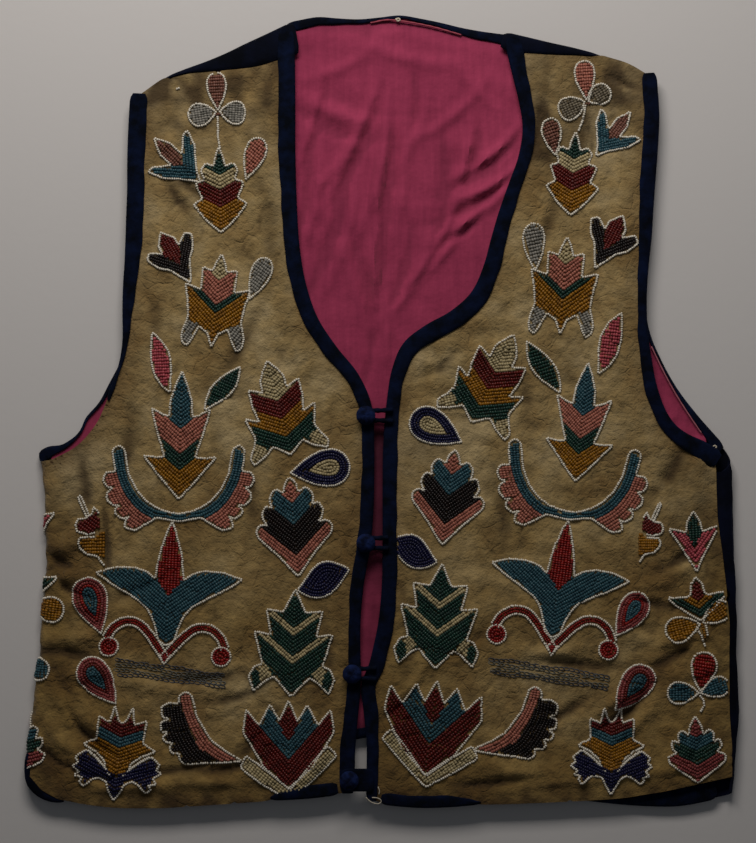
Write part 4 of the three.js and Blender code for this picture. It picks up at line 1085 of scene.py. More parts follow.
def slitTab():
    # a flat tab of doubled cloth with softened edges and a round worked slit for the lowest button;
    # its outline is a squared circle, |x|^6 + |y|^6 = 1
    low, high = boxOf("closing_tab")
    slit = sum(boxOf("button_4"))[:2] / 2
    count = 56
    angle = np.linspace(0, 2 * np.pi, count, endpoint=False)
    circle = np.stack([np.cos(angle), np.sin(angle)], 1)
    reach = (abs(circle) ** 6).sum(1, keepdims=True) ** (-1 / 6)
    outer = (low + high)[:2] / 2 + (high - low)[:2] / 2 * (reach * circle)
    inner = slit + slitRadius * circle
    tall = high[2] - low[2]
    rings = [np.column_stack([outer * (1 - share) + inner * share, np.full(count, low[2] + tall * z)])
             for share, z in tabSection]
    faces = ringFaces(len(rings), count, True)
    newPiece("closingTab", np.concatenate(rings), faces, "binding", ["closing_tab"])


slitTab()
print("closures made")

# a bead's pitch along its lane, the lanes' pitch, how far the first lies inside an outline, the outline's
# own pitch, and the sizes along, across and up of a bead in a fill and on an outline
bead = {"pitch": 1.62, "lane": 2.08, "margin": 1.24, "edgePitch": 1.42,
        "fill": (2.4, 2.6, 1.8), "edge": (1.62, 1.85, 1.6)}
# how beads differ and where they may lie: their scatter, differences in height and in size, the share in the
# second shade, their middles' height as a share of their own, how far they keep from the hide's edge and
# from a binding, and how far round a side fold they go, as a share of it
loose = {"scatter": 0.09, "height": 0.06, "size": 0.05, "shade": 0.35, "seat": 0.34, "fromEdge": 1.5,
         "fromBinding": 1.2, "roundFold": 0.72}


def softened(points, reach):
    # a closed outline with each corner rounded over that reach by a quadratic curve
    p = np.asarray(points, float)
    before, after = np.roll(p, 1, 0) - p, np.roll(p, -1, 0) - p
    lengths = np.hypot(*before.T)[:, None], np.hypot(*after.T)[:, None]
    a = p + before / lengths[0] * np.minimum(reach, 0.48 * lengths[0])
    b = p + after / lengths[1] * np.minimum(reach, 0.48 * lengths[1])
    t = np.linspace(0, 1, 5)[None, :, None]
    return ((1 - t) ** 2 * a[:, None] + 2 * t * (1 - t) * p[:, None] + t**2 * b[:, None]).reshape(-1, 2)


def bothHalves(half):
    # an outline from its right half, listed from the bottom tip to the top one
    right = np.asarray(half, float)
    return np.concatenate([right, (right * [-1, 1])[-2:0:-1]])


def teardrop(length, width, sharp=1.1, count=40):
    # tip at the origin and round end up: y follows a cosine and x a sine thinned towards the tip
    t = np.linspace(0, 2 * np.pi, count, endpoint=False)
    y = length / 2 * (1 - np.cos(t))
    x = np.sin(t) * np.sin(t / 2) ** sharp
    return np.stack([x / abs(x).max() * width / 2, y], 1)


def spindle(length, width, lean=1.0):
    # two arcs between two tips; lean pushes one side's belly up and the other's down
    t = np.linspace(0, 1, 16)
    right = np.stack([width / 2 * np.sin(np.pi * t**lean), length * t], 1)
    left = np.stack([-width / 2 * np.sin(np.pi * t ** (1 / lean)), length * t], 1)
    return np.concatenate([right, left[-2:0:-1]])


def disc(radius, count=18):
    t = np.linspace(0, 2 * np.pi, count, endpoint=False)
    return np.stack([radius * np.cos(t), radius * np.sin(t)], 1)


def turnedBy(points, degrees):
    # turned clockwise
    c, s = math.cos(math.radians(degrees)), math.sin(math.radians(degrees))
    return np.asarray(points, float) @ np.array([[c, -s], [s, c]])


def bandOf(bands, value):
    # each value's colour: bands are a colour, the value where the next begins, that colour, and so on
    codes = np.array([beadNames.index(colour) for colour in bands[::2]])
    return codes[np.searchsorted(bands[1::2], value + 1e-6)]


def sameColour(path, bands, value):
    # the beads of one lane, whose colour is that of the value
    return np.column_stack([path, headings(path), np.full(len(path), bandOf(bands, np.array([value]))[0])])


def chevronLanes(outline, fill, reach):
    # lanes of equal y - slope * |x|
    low, high = outline.min(0)[1], outline.max(0)[1]
    turn = math.atan(fill["slope"])
    begin = np.arange(low - fill["slope"] * reach, high + reach, bead["lane"] / math.cos(turn)) + 0.6
    steps = np.arange(0.3, reach / bead["pitch"]) * bead["pitch"]
    lane, along, side = (g.ravel() for g in np.meshgrid(begin, steps, [-1, 1]))
    return np.stack([side * along * math.cos(turn), lane + along * math.sin(turn), side * math.cos(turn),
                     np.full(len(lane), math.sin(turn)), bandOf(fill["bands"], lane)], 1)


def straightLanes(outline, fill, reach):
    # parallel lanes turned clockwise about the outline's middle
    middle = (outline.min(0) + outline.max(0)) / 2
    lanes, steps = (np.arange(-reach / 2, reach / 2, bead[key]) for key in ("lane", "pitch"))
    across, along = (g.ravel() for g in np.meshgrid(lanes, steps))
    spot = turnedBy(np.stack([along, across], 1), fill["turn"]) + middle
    heading = turnedBy(np.array([[1.0, 0]]), fill["turn"])[0]
    return np.column_stack([spot, np.tile(heading, (len(spot), 1)), bandOf(fill["bands"], across)])


def contourLanes(outline, fill, reach):
    # the outline moved inwards lane by lane
    rows = []
    into = outline if signedArea(outline) > 0 else outline[::-1]
    closed = cutEvenly(np.concatenate([into, into[:1]]), 1.0)
    for ring in range(30):
        inset = bead["margin"] + ring * bead["lane"]
        moved = cutEvenly(movedIn(closed, inset), bead["pitch"])
        gap, _, inside = toLoop(into, *moved.T)
        good = inside & (gap > inset - 0.8)
        if not good.any():
            break
        rows.append(sameColour(moved, fill["bands"], ring)[good])
    return thinned(np.concatenate(rows))


def routeLanes(outline, fill, reach):
    # the fill's route moved sideways lane by lane
    route = evenPath(fill["route"], bead["pitch"])
    return np.concatenate([
        sameColour(cutEvenly(movedIn(route, offset), bead["pitch"]), fill["bands"], offset)
        for offset in np.arange(*fill["span"], bead["lane"])])


def thinned(rows):
    # beads that would lie in an earlier one are left out
    gaps = np.hypot(*(rows[:, None, :2] - rows[None, :, :2]).transpose(2, 0, 1))
    crowded = (gaps < bead["pitch"] * 0.66) & (np.arange(len(rows))[None] < np.arange(len(rows))[:, None])
    return rows[~crowded.any(1)]


def signedArea(loop):
    nxt = np.roll(loop, -1, axis=0)
    return ((loop[:, 0] * nxt[:, 1] - loop[:, 1] * nxt[:, 0]).sum()) / 2


def partBeads(outline, fills, reach=1.3, edge=None, at=(0, 0), turn=0):
    # one outlined part of a motif: its fills clipped to it, later ones over earlier ones, then its edge
    outline = softened(outline, reach)
    rows = np.empty((0, 6))
    for fill in fills:
        made = fill["lanes"](outline, fill, float(np.hypot(*np.ptp(outline, axis=0))))
        gap, _, inside = toLoop(outline, made[:, 0], made[:, 1])
        made = made[inside & (gap > bead["margin"] - 0.1)]
        if "inside" in fill:
            area = np.asarray(fill["inside"], float)
            within = np.zeros(len(made), bool)
            for area in [area, area * [-1, 1]] if fill.get("both") else [area]:
                within |= toLoop(area, made[:, 0], made[:, 1])[2]
                if len(rows):
                    rows = rows[~toLoop(area, rows[:, 0], rows[:, 1])[2]]
            made = made[within]
        rows = np.concatenate([rows, np.column_stack([made, np.zeros(len(made))])])
    walk = np.concatenate([outline, outline[:1]]) if edge is None else np.asarray(edge, float)
    rows = np.concatenate([rows, strandBeads(walk)])
    rows[:, :2] = turnedBy(rows[:, :2], turn) + at
    rows[:, 2:4] = turnedBy(rows[:, 2:4], turn)
    return rows


def strandBeads(route, colour="white", offset=0):
    # a single string of beads along a route, moved sideways by the offset
    path = cutEvenly(route, 0.8)
    path = cutEvenly(movedIn(path, offset) if offset else path, bead["edgePitch"])
    return np.column_stack([sameColour(path, [colour], 0), np.ones(len(path))])


def part(outline, *fills, **more):
    return partBeads(outline, fills, **more)


def leaf(half, *fills, **more):
    # a part that is the same on both sides, from its foot at the origin up the right side
    return partBeads(bothHalves([(0, 0)] + half), fills, **more)


def strand(route, **more):
    return strandBeads(evenPath(route, 1.0) if len(route) > 2 else np.asarray(route, float), **more)


def chevrons(slope, *bands, **more):
    return dict(lanes=chevronLanes, slope=slope, bands=bands, **more)


def plain(colour, turn=0, **more):
    return dict(lanes=straightLanes, turn=turn, bands=[colour], **more)


def rings(*bands):
    return dict(lanes=contourLanes, bands=bands)


def follow(route, low, high, *bands, **more):
    return dict(lanes=routeLanes, route=route, span=(low, high), bands=bands, **more)


tulipHalf = [(5, 9), (8.5, 16), (14.5, 21), (19.5, 31), (15, 34.5), (6.8, 28.5), (6.8, 35), (0, 43.5)]
tulipHeart = bothHalves([(0, 15), (5.5, 24.5), (8, 33), (0, 46)])
garlandArm = [(0, 0), (8, 1.5), (16, 3), (24, 8), (31, 16), (36.5, 28), (39.5, 44)]

# the beads of each motif, in millimetres round its foot
motifs = {
    "trefoil": [
        part(teardrop(26, 13.5), plain("brown"), at=(0, 1)),
        part(teardrop(19.5, 15.5, 0.8), plain("grey"), at=(-1.5, -0.5), turn=-97),
        part(teardrop(18, 16, 0.8), plain("grey"), at=(1.5, -0.5), turn=97),
        strand([(-0.5, -4), (-0.7, -12), (-1, -18), (0, -26)]),
        strand([(-1.5, -2.2), (1.5, -2.2)], colour="brown"),
    ],
    "trefoilRight": [
        part(teardrop(26, 13.5), plain("salmon"), at=(0, 0.5)),
        part(teardrop(19, 15.5, 0.7), plain("greyBrown"), at=(-1.5, -1), turn=-110),
        part(teardrop(16, 13.5, 0.7), plain("greyBrown"), at=(1.5, -1), turn=64),
        strand([(-1, -4), (-2.5, -10), (-4.5, -15), (-7, -20)]),
        strand([(-1.5, -2.6), (1.5, -2.6)], colour="brown"),
    ],
    "tealTulip": [
        leaf([(4.5, 8), (9.5, 14), (15.5, 20.5), (19.5, 31), (15, 30.5), (8.5, 25), (5, 22.5), (5, 33),
            (0, 43.5)],
            chevrons(1.15, "teal"),
            plain("brown", 90, inside=bothHalves([(0, 17), (4.5, 22), (6, 30), (0, 46)]))),
    ],
    "blackTulip": [leaf(tulipHalf, chevrons(1.15, "black"), plain("redBrown", 90, inside=tulipHeart))],
    "smallLeaf": [
        leaf([(9, 8), (18, 19), (11.5, 22.5), (16, 33), (9.5, 35), (12.5, 41), (9, 46), (4, 43.5),
            (2.5, 50), (0, 56.5)],
            chevrons(0.55, "mustard", 15.5, "redBrown", 27.5, "beige", 38.5, "darkGreen"), reach=1.8),
    ],
    "pinkDrop": [part(teardrop(28, 13.5), plain("salmon", 18))],
    "brownDrop": [part(teardrop(24.5, 12.5, 0.9), plain("brown", -14))],
    "greyDrop": [part(teardrop(29.5, 13.5), plain("grey", 12))],
    "footedLeaf": [
        leaf([(3.5, 9), (9.5, 13), (13.5, 4), (16.5, -1), (20, 1.5), (20.5, 8), (17.5, 18), (19, 29),
            (21.5, 40), (11, 37), (11.5, 52), (4.6, 50), (3, 56), (0, 62)],
            chevrons(0.85, "mustard", 22.5, "darkGreen", 28.5, "salmon", 43.5, "beige"),
            plain("grey", -60, inside=[(9.5, 14), (13, 0), (16, -4), (23, -2), (23, 10), (18.5, 17)],
                both=True)),
    ],
    "pinkSpindle": [part(spindle(42, 13.5, 1.25), plain("pink", 14))],
    "greenSpindle": [part(spindle(39, 13, 1.2), plain("darkGreen", -16))],
    "stackedLeaf": [
        leaf([(12, 14), (24, 28.5), (16, 27.5), (10, 28), (12, 34), (14.5, 42), (17, 51), (19.5, 60),
            (12.5, 56), (7.5, 54.5), (7, 65), (4, 75), (0, 85)],
            chevrons(0.85, "mustard", 20, "darkGreen", 29, "salmon", 45, "teal")),
    ],
    "rotatedLeaf": [
        leaf([(10, 8), (16, 3), (25, -1), (26.5, 4), (22, 11), (20, 16), (23.8, 30), (15, 26), (17, 36),
            (17, 48), (8, 44), (8, 52), (4.5, 58), (0, 64)],
            chevrons(0.6, "darkGreen", 13, "mustard", 24, "redBrown", 37, "beige"),
            plain("beige", -50, inside=[(15, 9), (15, -2), (28, -4), (29, 6), (21.5, 14)], both=True)),
    ],
    "navyDrop": [part(teardrop(39, 24, 1.0), rings("navy", 3, "beige"))],
    "navyPetal": [part(spindle(36, 21, 0.8), rings("navy"))],
    "garland": [
        part(bothHalves([(0, -2.4), (8, -1.2), (15, 0), (22, -4.5), (29, -8.5), (36, -6.5), (35, -1.5),
            (32.5, 0.8), (37, -1), (42, 2.5), (42, 6), (38.5, 8.2), (43, 8), (47.5, 11.5), (47.5, 16.5),
            (43.2, 19.8), (47.5, 20.3), (50, 25), (48, 30), (41.5, 30.5), (43, 38), (43.5, 45), (39.5, 48),
            (35.8, 45), (33, 29), (28, 18.5), (21.5, 11), (14.5, 6.5), (8, 3.8), (0, 2.4)]),
            follow([(-x, y) for x, y in garlandArm[:0:-1]] + garlandArm, -19.5, 5, "salmon", -4.2, "teal"),
            reach=1.6),
    ],
    "bossLeaf": [
        leaf([(12, 15), (24, 27.5), (25.5, 32), (22, 36.5), (16, 35), (19.5, 38), (20.5, 43), (17.5, 48.5),
            (12.5, 46.5), (14.5, 50), (14, 55), (10, 59), (4.8, 55.5), (4, 61), (0, 66.5)],
            chevrons(0.95, "salmon", 14.5, "black", 33, "teal", 49.5, "salmon"), reach=2.2),
    ],
    "bigTulip": [
        leaf([(5.3, 3), (7.2, 11), (10.8, 20), (16, 26.5), (27, 33), (38, 39), (48.5, 46), (36, 50),
            (24, 50.5), (15, 48), (9.5, 43.5), (8.5, 52), (6.5, 63), (3, 75), (0, 82)],
            chevrons(0.75, "teal"),
            plain("red", 90, inside=bothHalves([(0, 33), (9, 44), (9.5, 52), (7, 64), (4, 76), (0, 86)]))),
    ],
    "scroll": [
        *[part(disc(6.3), rings("red"), at=(s * 37.2, 4.5)) for s in (-1, 1)],
        *[strand([(s * x, y) for x, y in [(0, 0.5), (4.5, 6.5), (12, 15.5), (19.5, 21.5), (28, 22),
            (35.2, 17.2), (39, 10.5)]], colour=colour, offset=offset) for s in (-1, 1) for colour, offset in
            (("white", -2.7), ("red", -0.9), ("red", 0.9), ("white", 2.7))],
        strand([(-3.6, 2.4), (-1.8, -1.2), (0, -4), (1.8, -1.2), (3.6, 2.4)]),
        strand([(0, -1.6), (0, 1.4)], colour="red"),
    ],
    "redDrop": [part(teardrop(37.5, 22, 1.0), rings("rose", 2, "redBrown", 3, "teal"))],
    "roseDrop": [part(teardrop(38, 22, 1.0), rings("rose", 2, "red", 3, "teal"))],
    "halfTulip": [
        part([(-6, 10), (-10.5, 9.5), (-12, 5.5), (-10.5, 1.5), (-4.5, -0.5), (0.5, 0.5), (4.5, 3),
            (4.5, 9), (3, 14), (0.5, 17.5), (-1, 13)],
            plain("redBrown", 35),
            reach=2, edge=[(3, 14), (0.5, 17.5), (-1, 13), (-6, 10), (-10.5, 9.5), (-12, 5.5), (-10.5, 1.5),
                (-4.5, -0.5), (0.5, 0.5)]),
        part([(-9, -2.5), (0, -2), (4, 1.5), (8, 3), (8, -11), (6, -20.5), (2.5, -15), (-4.5, -13.5),
            (-9, -9.5), (-10, -5.5)],
            plain("mustard"),
            reach=2, edge=[(0, -2), (-9, -2.5), (-10, -5.5), (-9, -9.5), (-4.5, -13.5), (2.5, -15),
                (6, -20.5)]),
        strand([(-4.5, 10.5), (-10, 23), (-8.5, 24), (-3, 12)]),
    ],
    "greenLeaf": [
        leaf([(12, 13), (17, 10), (25, 2.5), (28.5, 12), (25, 19), (19.7, 20.5), (26, 42), (15, 40),
            (18.5, 57), (7.3, 55.5), (0, 71)],
            chevrons(0.8, "darkGreen", 20, "beige", 25.5, "darkGreen", 38.5, "beige", 44, "darkGreen"),
            plain("darkGreen", -45, inside=[(19, 12), (24, 0), (30, 0), (31, 16), (25.5, 21)], both=True),
            plain("beige", -45, inside=[(13, 14), (16.5, 9), (20, 8), (22.5, 19), (19, 22)], both=True)),
    ],
    "spikedTulip": [
        leaf([(16, 14), (30, 37), (28, 52), (19.5, 41.5), (12.5, 55), (6, 44), (0, 58)],
            chevrons(1.15, "redBrown", 17.5, "teal"),
            chevrons(1.15, "redBrown", inside=[(0, 30), (7.5, 44), (0, 62), (-7.5, 44)])),
    ],
    "stripedV": [
        part([(-32, 13.5), (-17, 2.8), (0.5, -8), (16, 5.8), (32, 21.8), (26, 28.5), (13, 13.5), (1, -1),
            (-14, 11.5), (-28, 21.5)],
            plain("beige", -52, inside=[(-40, 6), (0.5, -16), (1, 4), (-24, 30)]),
            plain("beige", 46, inside=[(0.5, -16), (40, 16), (30, 36), (1, 4)]), reach=2),
    ],
    "scallopedArm": [
        part([(0, 1), (4.5, -1.5), (8, -16), (17, -31), (27, -38.5), (38, -45), (24, -46), (8, -46.5),
            (0, -47), (-4, -43.5), (-2.5, -40), (-8.5, -40), (-10.5, -36), (-7.5, -33), (-13, -33),
            (-15, -29), (-10.5, -26.5), (-15.5, -25.5), (-16, -19.5), (-10, -17.5), (-15, -16),
            (-15.5, -9.5), (-10, -6.5), (-4, -7.5), (-4, -2)],
            follow([(-4, -6), (-2, -21), (5.5, -36), (16, -45), (28, -50)], -18, 10, "black"),
            follow([(1, 4), (1.5, -6), (5.5, -19), (14, -33), (24, -41), (42, -50)], -9, 9, "salmon",
                inside=[(-7, 4), (7, 4), (12, -14), (20, -28), (44, -42), (36, -50), (20, -44),
                (9.5, -36.5), (2, -22), (-2.5, -7)]), reach=1.8),
    ],
    "cornerFlower": [
        leaf([(3, 5), (6, 11), (11, 14), (16, 12), (21, 7.5), (24, 11), (21.5, 13), (27.5, 14), (24, 17),
            (29.5, 20.5), (25.5, 23), (28, 26.5), (21.5, 31.5), (15, 27), (8, 21), (8.5, 25), (15, 30.5),
            (24, 35), (15, 39.5), (16, 54.5), (8, 51), (6, 62.5), (2.5, 53), (0, 51)],
            chevrons(0.45, "mustard", 34.5, "teal", 42.5, "redBrown"),
            chevrons(0.4, "navy", inside=[(0, -4), (0, 16), (8, 22), (20, 35), (34, 28), (32, 4), (10, 4)],
                both=True), reach=1.2),
        *[strand([(s * 4.5, 17), (s * 8, 21), (s * 15, 27.5), (s * 20, 31)]) for s in (-1, 1)],
    ],
    "sideTulip": [
        leaf([(5, 10), (11, 20), (17, 29.5), (11, 28), (5.2, 26), (4.3, 33), (0, 40)],
            chevrons(1.3, "pink"),
            plain("darkGreen", 90, inside=bothHalves([(0, 16), (6, 26), (5, 34), (0, 43)]))),
    ],
    "sideFlower": [
        part(teardrop(23, 16.5, 0.9), plain("mustard"), at=(-1, -2), turn=-98),
        part(teardrop(20, 13.5, 0.8), plain("mustard"), at=(1.5, -1), turn=62),
        leaf([(8, 6), (15, 12), (20, 17.5), (12, 17), (7, 16.5), (4.5, 18), (3.8, 24), (0, 29.4)],
            chevrons(0.75, "darkGreen", 7.5, "mustard", 12.5, "redBrown")),
        strand([(-3.5, -4), (-1.4, -9), (0.5, -16.5)]),
        strand([(0.3, -2.5), (0.8, -6), (1.2, -11)], colour="mustard"),
        strand([(2.6, -3.5), (3, -9.5)]),
    ],
    "sideTrefoil": [
        part(teardrop(25.5, 16.5, 0.9), plain("red"), at=(0.5, 1.5), turn=6),
        part(teardrop(20.5, 14.5, 0.9), plain("teal"), at=(-0.5, 0), turn=-92),
        part(teardrop(19, 13, 0.9), plain("teal"), at=(1, 0), turn=68),
        strand([(0.5, -2), (2.6, -4.5), (3, -8), (1.5, -12)]),
    ],
    "sideLeaf": [
        leaf([(10, 7.5), (19, 14), (20, 18.5), (15.5, 20.5), (13.5, 21), (17.5, 25), (16, 30), (11.5, 27.5),
            (12.5, 34), (9, 36.5), (5, 32.5), (4, 39), (0, 46)],
            chevrons(0.55, "rose", 12, "darkGreen", 21.5, "teal", 31, "rose"), reach=1.8),
    ],
}

# where each motif lies on its front: x and y of its foot, clockwise tilt in degrees, and size if it isn't 1.
# On the right front motifs are mirrored, and on the left one those beside the fold are; two never are.
layout = {
    "left": {
        "trefoil": (-108.5, 197.6, -3, 0.93), "tealTulip": (-120, 150.5, -46.5, 0.97),
        "smallLeaf": (-106.5, 117.5, -1.5), "pinkDrop": (-90, 153, 20),
        "blackTulip": (-126.5, 84.5, -31, 0.88), "footedLeaf": (-113, 42, 6.5),
        "greyDrop": (-87.5, 74, 23.5, 0.97), "pinkSpindle": (-140, 12.5, -17, 0.98),
        "greenSpindle": (-117, 0.5, 39, 0.95), "stackedLeaf": (-134.5, -58.5, 1.5),
        "rotatedLeaf": (-60.5, -29, -14), "navyDrop": (-60.5, -41, 82), "garland": (-134.5, -70.5, 0),
        "bossLeaf": (-55.5, -109.5, -5), "navyPetal": (-56, -118, 68, 1.02), "bigTulip": (-143, -155, 3),
        "scroll": (-144, -163.3, 5.2), "roseDrop": (-185.5, -146.5, -18),
        "redDrop": (-176, -193, -37, 0.95), "halfTulip": (-190.5, -81, 0),
        "greenLeaf": (-60.5, -188.5, 2.5), "spikedTulip": (-62, -249, 0), "stripedV": (-62, -249, 0),
        "scallopedArm": (-130.5, -186, 0), "cornerFlower": (-177.5, -257, 6.5), "sideTulip": (-234, -96, 2),
        "sideFlower": (-234, -127, 0), "sideTrefoil": (-241, -170, 0), "sideLeaf": (-246, -241, 12),
    },
    "right": {
        "trefoilRight": (134.5, 205, -4.5, 0.97), "tealTulip": (140.8, 168, 38, 0.85),
        "smallLeaf": (124, 129, 3.5, 0.98), "brownDrop": (113.5, 169, -8, 0.97),
        "blackTulip": (140, 94, 28, 0.9), "footedLeaf": (117, 50.5, 4.5, 1.04),
        "greyDrop": (100.5, 92.5, -2, 1.05), "pinkSpindle": (142, 24.5, 21, 1.03),
        "greenSpindle": (117, 11.5, -32.5, 1.05), "stackedLeaf": (127, -46.5, 6.5, 0.93),
        "rotatedLeaf": (58.5, -7.5, 26), "navyDrop": (52, -20.5, -62, 0.95), "garland": (123, -69.5, 5),
        "bossLeaf": (39, -88.5, 8, 0.96), "navyPetal": (36, -99.5, -66, 0.95),
        "bigTulip": (111.5, -149.5, 8, 0.95), "scroll": (111.5, -157, 8),
        "roseDrop": (154.5, -148, 33, 0.85), "redDrop": (153.5, -197, 40, 0.95),
        "halfTulip": (175, -82, 0, 0.85), "greenLeaf": (34.5, -170, 4, 0.98),
        "spikedTulip": (28, -240, 7.5, 1.08), "stripedV": (29.5, -240, 5), "scallopedArm": (101.5, -183, 6),
        "cornerFlower": (150.5, -253, 1, 0.92), "sideTulip": (207, -106, -3.5),
        "sideFlower": (210, -138.5, -7), "sideTrefoil": (209, -186, 2),
        "sideLeaf": (208, -245.2, -2.5, 0.96),
    },
}
neverMirrored = ("trefoilRight", "brownDrop")


def placedBeads(side, outline):
    # every bead of one front in the flat: x, y, direction x and y, colour, 1 on an outline. None lies by the
    # hide's edge, in the binding or where the fold has turned under.
    rows = []
    for name, (x, y, tilt, *size) in layout[side].items():
        own = np.concatenate(motifs[name])
        if (side == "right") != name.startswith("side") and name not in neverMirrored:
            own[:, [0, 2]] *= -1
        own[:, :2] = turnedBy(own[:, :2] * (size or [1])[0], tilt) + (x, y)
        own[:, 2:4] = turnedBy(own[:, 2:4], tilt)
        rows.append(own)
    rows = np.concatenate(rows)
    rows[:, :2] += draws.normal(0, loose["scatter"], (len(rows), 2))
    x, y = rows[:, :2].T
    gap, _, inside = toLoop(outline, x, y)
    edge = edges["edge_binding_" + side]
    order = np.argsort(edge[:, 1])
    covered = toPaths([edge], x, y) < np.interp(y, edge[order, 1], edge[order, 2]) + loose["fromBinding"]
    onTop = pastFold(side, x, y) < loose["roundFold"] * foldArc
    return rows[inside & (gap > loose["fromEdge"]) & onTop & ~covered]


# a bead in its own frame: an icosahedron, whose twenty faces are shaded round
golden = (1 + math.sqrt(5)) / 2
beadPoints = np.array([
    (0, 1, golden), (0, -1, golden), (0, 1, -golden), (0, -1, -golden),
    (1, golden, 0), (-1, golden, 0), (1, -golden, 0), (-1, -golden, 0),
    (golden, 0, 1), (-golden, 0, 1), (golden, 0, -1), (-golden, 0, -1),
]) / math.hypot(1, golden)
beadFaces = np.array([
    (0, 1, 8), (0, 9, 1), (0, 8, 4), (0, 4, 5), (0, 5, 9), (1, 6, 8), (1, 7, 6), (1, 9, 7), (8, 6, 10),
    (8, 10, 4), (4, 10, 2), (4, 2, 5), (5, 2, 11), (5, 11, 9), (9, 11, 7), (6, 3, 10), (6, 7, 3),
    (10, 3, 2), (2, 3, 11), (11, 3, 7),
])


def stringBeads(name, side, rows):
    # beads set on the hide: their length along the lane, their width across it and their height along the
    # surface's own normal, which comes from points a little further along and across
    x, y, aheadX, aheadY = rows[:, :4].T
    step = 0.4
    spot = hidePoint(side, x, y, 0)
    along = hidePoint(side, x + aheadX * step, y + aheadY * step, 0) - spot
    across = hidePoint(side, x - aheadY * step, y + aheadX * step, 0) - spot
    along /= np.linalg.norm(along, axis=1)[:, None]
    normal = np.cross(along, across)
    normal /= np.linalg.norm(normal, axis=1)[:, None]
    axes = np.stack([along, np.cross(normal, along), normal], 1)
    sizes = 1 + draws.normal(0, loose["size"], (len(rows), 3))
    half = sizes * np.where(rows[:, 5:] > 0, bead["edge"], bead["fill"]) / 2
    lift = bead["fill"][2] * loose["seat"] + draws.normal(0, loose["height"], len(rows))
    local = beadPoints * half[:, None]
    points = (spot + normal * lift[:, None])[:, None] + (local[..., None] * axes[:, None]).sum(2)
    faces = (beadFaces + len(beadPoints) * np.arange(len(rows))[:, None, None]).reshape(-1, 3)
    shade = draws.random(len(rows)) < loose["shade"]
    which = np.repeat(rows[:, 4].astype(int) * 2 + shade, len(beadFaces))
    print(f"{name}: {len(rows)} beads")
    newPiece(name, points.reshape(-1, 3), faces, "beads", sharpAbove=0, which=which, turned=False)


for side, outline in {"left": outlineLeft, "right": outlineRight}.items():
    rows = placedBeads(side, outline)
    for kind, chosen in {"Fills": rows[:, 5] == 0, "Outlines": rows[:, 5] == 1}.items():
        stringBeads(f"bead{kind}{side.capitalize()}", side, rows[chosen])
print("beadwork made")


# The pocket slits' chain stitching: for each front, rows as start and end, worked as flat looped links
pocket = {"link": 3.3, "wide": 0.95, "thread": 0.3, "wander": 0.5}
pocketRows = {
    "left": [((-175, -164.3), (-106, -174.5)), ((-174, -167), (-108, -177.2)),
             ((-175, -171), (-105, -179.6)), ((-173, -173.4), (-106, -181.8))],
    "right": [((72, -163.5), (148, -175)), ((72, -166), (148, -177.5)),
              ((73, -170), (147, -180.5)), ((73, -172.5), (147, -183))],
}
pocketThread = spunThread("pocketThread", "50545c", 0.8)
palePocketThread = spunThread("palePocketThread", "75766e", 0.8)


def chainStitches(name, side, rows, finish):
    # each link is an oval ring of thread lying on the hide: its middle line is (long * cos a, wide * sin a)
    around, section = 10, 4
    angle = np.linspace(0, 2 * np.pi, around, endpoint=False)[:, None]
    turn = np.linspace(0, 2 * np.pi, section, endpoint=False) + math.pi / 4
    thread = pocket["thread"]
    ringU = ((pocket["link"] * 0.62 + thread * np.cos(turn)) * np.cos(angle)).ravel()
    ringV = ((pocket["wide"] + thread * np.cos(turn)) * np.sin(angle)).ravel()
    ringW = (thread * np.sin(turn) + thread * 0.75) * np.ones((around, 1)) + 0.35 * np.cos(angle)
    centres, ahead = [], []
    for start, end in rows:
        path = cutEvenly([start, end], pocket["link"])
        path[:, 1] += pocket["wander"] * np.sin(path[:, 0] / 6 + start[1])
        centres.append(path + draws.normal(0, 0.3, path.shape))
        ahead.append(headings(path))
    (x, y), (aheadX, aheadY) = (np.concatenate(each).T[..., None] for each in (centres, ahead))
    linkX = x + (aheadX * ringU - aheadY * ringV)
    linkY = y + (aheadY * ringU + aheadX * ringV)
    spot = hidePoint(side, linkX.ravel(), linkY.ravel(), 0)
    spot[:, 2] += np.tile(ringW.ravel(), len(x))
    ring = ringFaces(around, section, True)[:, [0, 3, 2, 1]]  # turned to face out
    faces = (ring + around * section * np.arange(len(x))[:, None, None]).reshape(-1, 4)
    newPiece(name, spot, faces, "thread", finish=finish, sharpAbove=0, turned=False)


for side, rows in pocketRows.items():
    name = side.capitalize()
    chainStitches("pocketChain" + name, side, rows[::3], pocketThread)
    chainStitches("pocketChainPale" + name, side, rows[1:3], palePocketThread)
print("pocket stitching made")

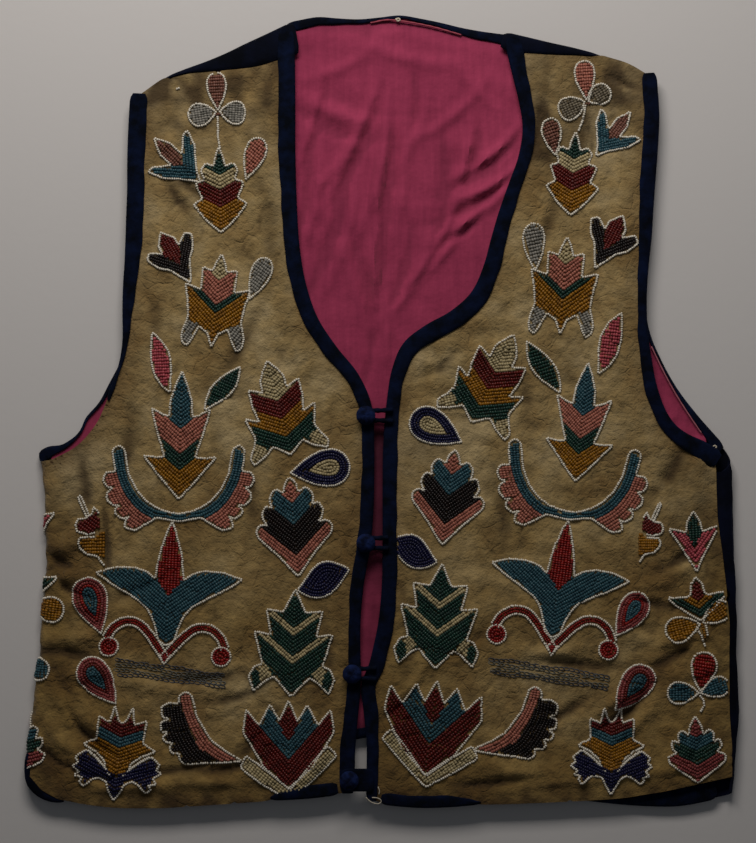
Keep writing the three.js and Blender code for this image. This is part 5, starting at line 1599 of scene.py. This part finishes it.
# loose threads and knots: their finish, spacing, radius and route
paleThread = spunThread("paleThread", "cfc6b2", 0.7)
roseThread = spunThread("roseThread", "a8505e", 0.7)
threadRoutes = {
    "hemThread": (paleThread, 0.5, 0.32, [(-11, -254.5, 10.2), (-7.5, -257.6, 10), (-3, -258.8, 9.9),
                                          (-0.8, -257, 10), (-3, -255, 10.3), (-7, -254.6, 10.3)]),
    "tabThread": (paleThread, 0.5, 0.3, [(-3, -247.5, 10.4), (-2, -250, 10.4), (-2.4, -252.5, 10.3)]),
    "neckKnot": (paleThread, 0.5, 0.6, [(8.5, 258.5, 5.6), (10.5, 259.3, 6.0), (11.5, 258.2, 6.1),
                                        (9.8, 257.4, 6.0), (9.2, 258.8, 6.4)]),
    "armholeKnot": (paleThread, 0.5, 0.5, [(217.5, -23.5, 5.8), (219, -25, 6.2), (220.5, -24, 6.2),
                                           (219.5, -22.8, 6.0), (218, -24, 6.5)]),
    "neckSeamThread": (roseThread, 0.8, 0.55, [(-8, 256.5, 4.9), (6, 258.3, 5.4),
                                               (30, 254.5, 5.3), (52, 248.5, 5.2)]),
}
for name, (finish, spacing, radius, route) in threadRoutes.items():
    tube(name, spacePath(route, spacing), radius, "thread", finish=finish)
# the lining's stitched edge inside the right armhole, raised a little beside the binding
rolled = movedIn(edges["armhole_binding_back_right"], edges["armhole_binding_back_right"][:, 2] + 0.4)
rolled = rolled[(rolled[:, 1] > -15) & (rolled[:, 1] < 44), :2]
route = spacePath(np.column_stack([rolled, np.full(len(rolled), backTop + 0.25)]), 1.0)
tube("liningStitching", route, 0.45, "thread", finish=spunThread("paleRoseThread", "b8707c", 0.8))
white = beadNames.index("white")
strayRows = np.array([(-135.5, 212.2, 1, 0, white, 1), (-134.2, 212.6, 1, 0.3, white, 1)])
stringBeads("strayBeads", "left", strayRows)


def studioFloor():
    # white-painted board: matt, with a faint brushed texture
    made, add, where = newFinish("paintedBoard")
    brushed = add("TexNoise", {"Vector": where, "Scale": perMetre(6), "Detail": 4})
    bump = add("Bump", {"Height": brushed, "Strength": 0.15, "Distance": 0.0005})
    shader = add("BsdfPrincipled", {
        "Base Color": linear("dcdad8"), "Roughness": 0.75, "Specular IOR Level": 0.2, "Normal": bump})
    add("OutputMaterial", {"Surface": shader})
    bpy.ops.mesh.primitive_plane_add(size=8, location=(0, 0, -0.0005))
    floor = bpy.context.object
    floor.name = "studioFloor"
    floor.data.materials.append(made)


def areaLight(name, place, aim, size, power, colour):
    lamp = bpy.data.lights.new(name, "AREA")
    lamp.shape = "RECTANGLE"
    lamp.size, lamp.size_y = size
    lamp.energy = power
    lamp.color = linear(colour)[:3]
    made = bpy.data.objects.new(name, lamp)
    bpy.context.scene.collection.objects.link(made)
    made.location = Vector(place)
    made.rotation_euler = (Vector(aim) - Vector(place)).to_track_quat("-Z", "Y").to_euler()


studioFloor()
# a low window beyond the neck and a weak fill overhead: place, aim and size in metres, power in watts
areaLight("windowLight", (-0.1, 0.88, 0.64), (0, 0.05, 0), (0.75, 0.3), 7.05, "fff8f2")
areaLight("fillLight", (0.2, 0.2, 2.2), (0, 0, 0), (1.6, 1.6), 0.95, "eef2ff")
world = bpy.data.worlds.new("studioAir")
world.use_nodes = True
air = world.node_tree.nodes["Background"]
air.inputs["Color"].default_value = linear("dfe4ea")
air.inputs["Strength"].default_value = 0.05
bpy.context.scene.world = world
bpy.context.scene.view_settings.view_transform = "Standard"

# the camera looks straight down from its height, and what it frames at that level is so tall
view = {"centreX": -3.0, "centreY": -7.0, "height": 1350.0, "tall": 556.0, "level": 8.0}
camera = bpy.data.cameras.new("camera")
camera.sensor_width = 36
camera.lens = 36 * (view["height"] - view["level"]) / view["tall"]
camera.clip_end = 20
viewer = bpy.data.objects.new("camera", camera)
bpy.context.scene.collection.objects.link(viewer)
viewer.location = (view["centreX"] * mm, view["centreY"] * mm, view["height"] * mm)
bpy.context.scene.camera = viewer
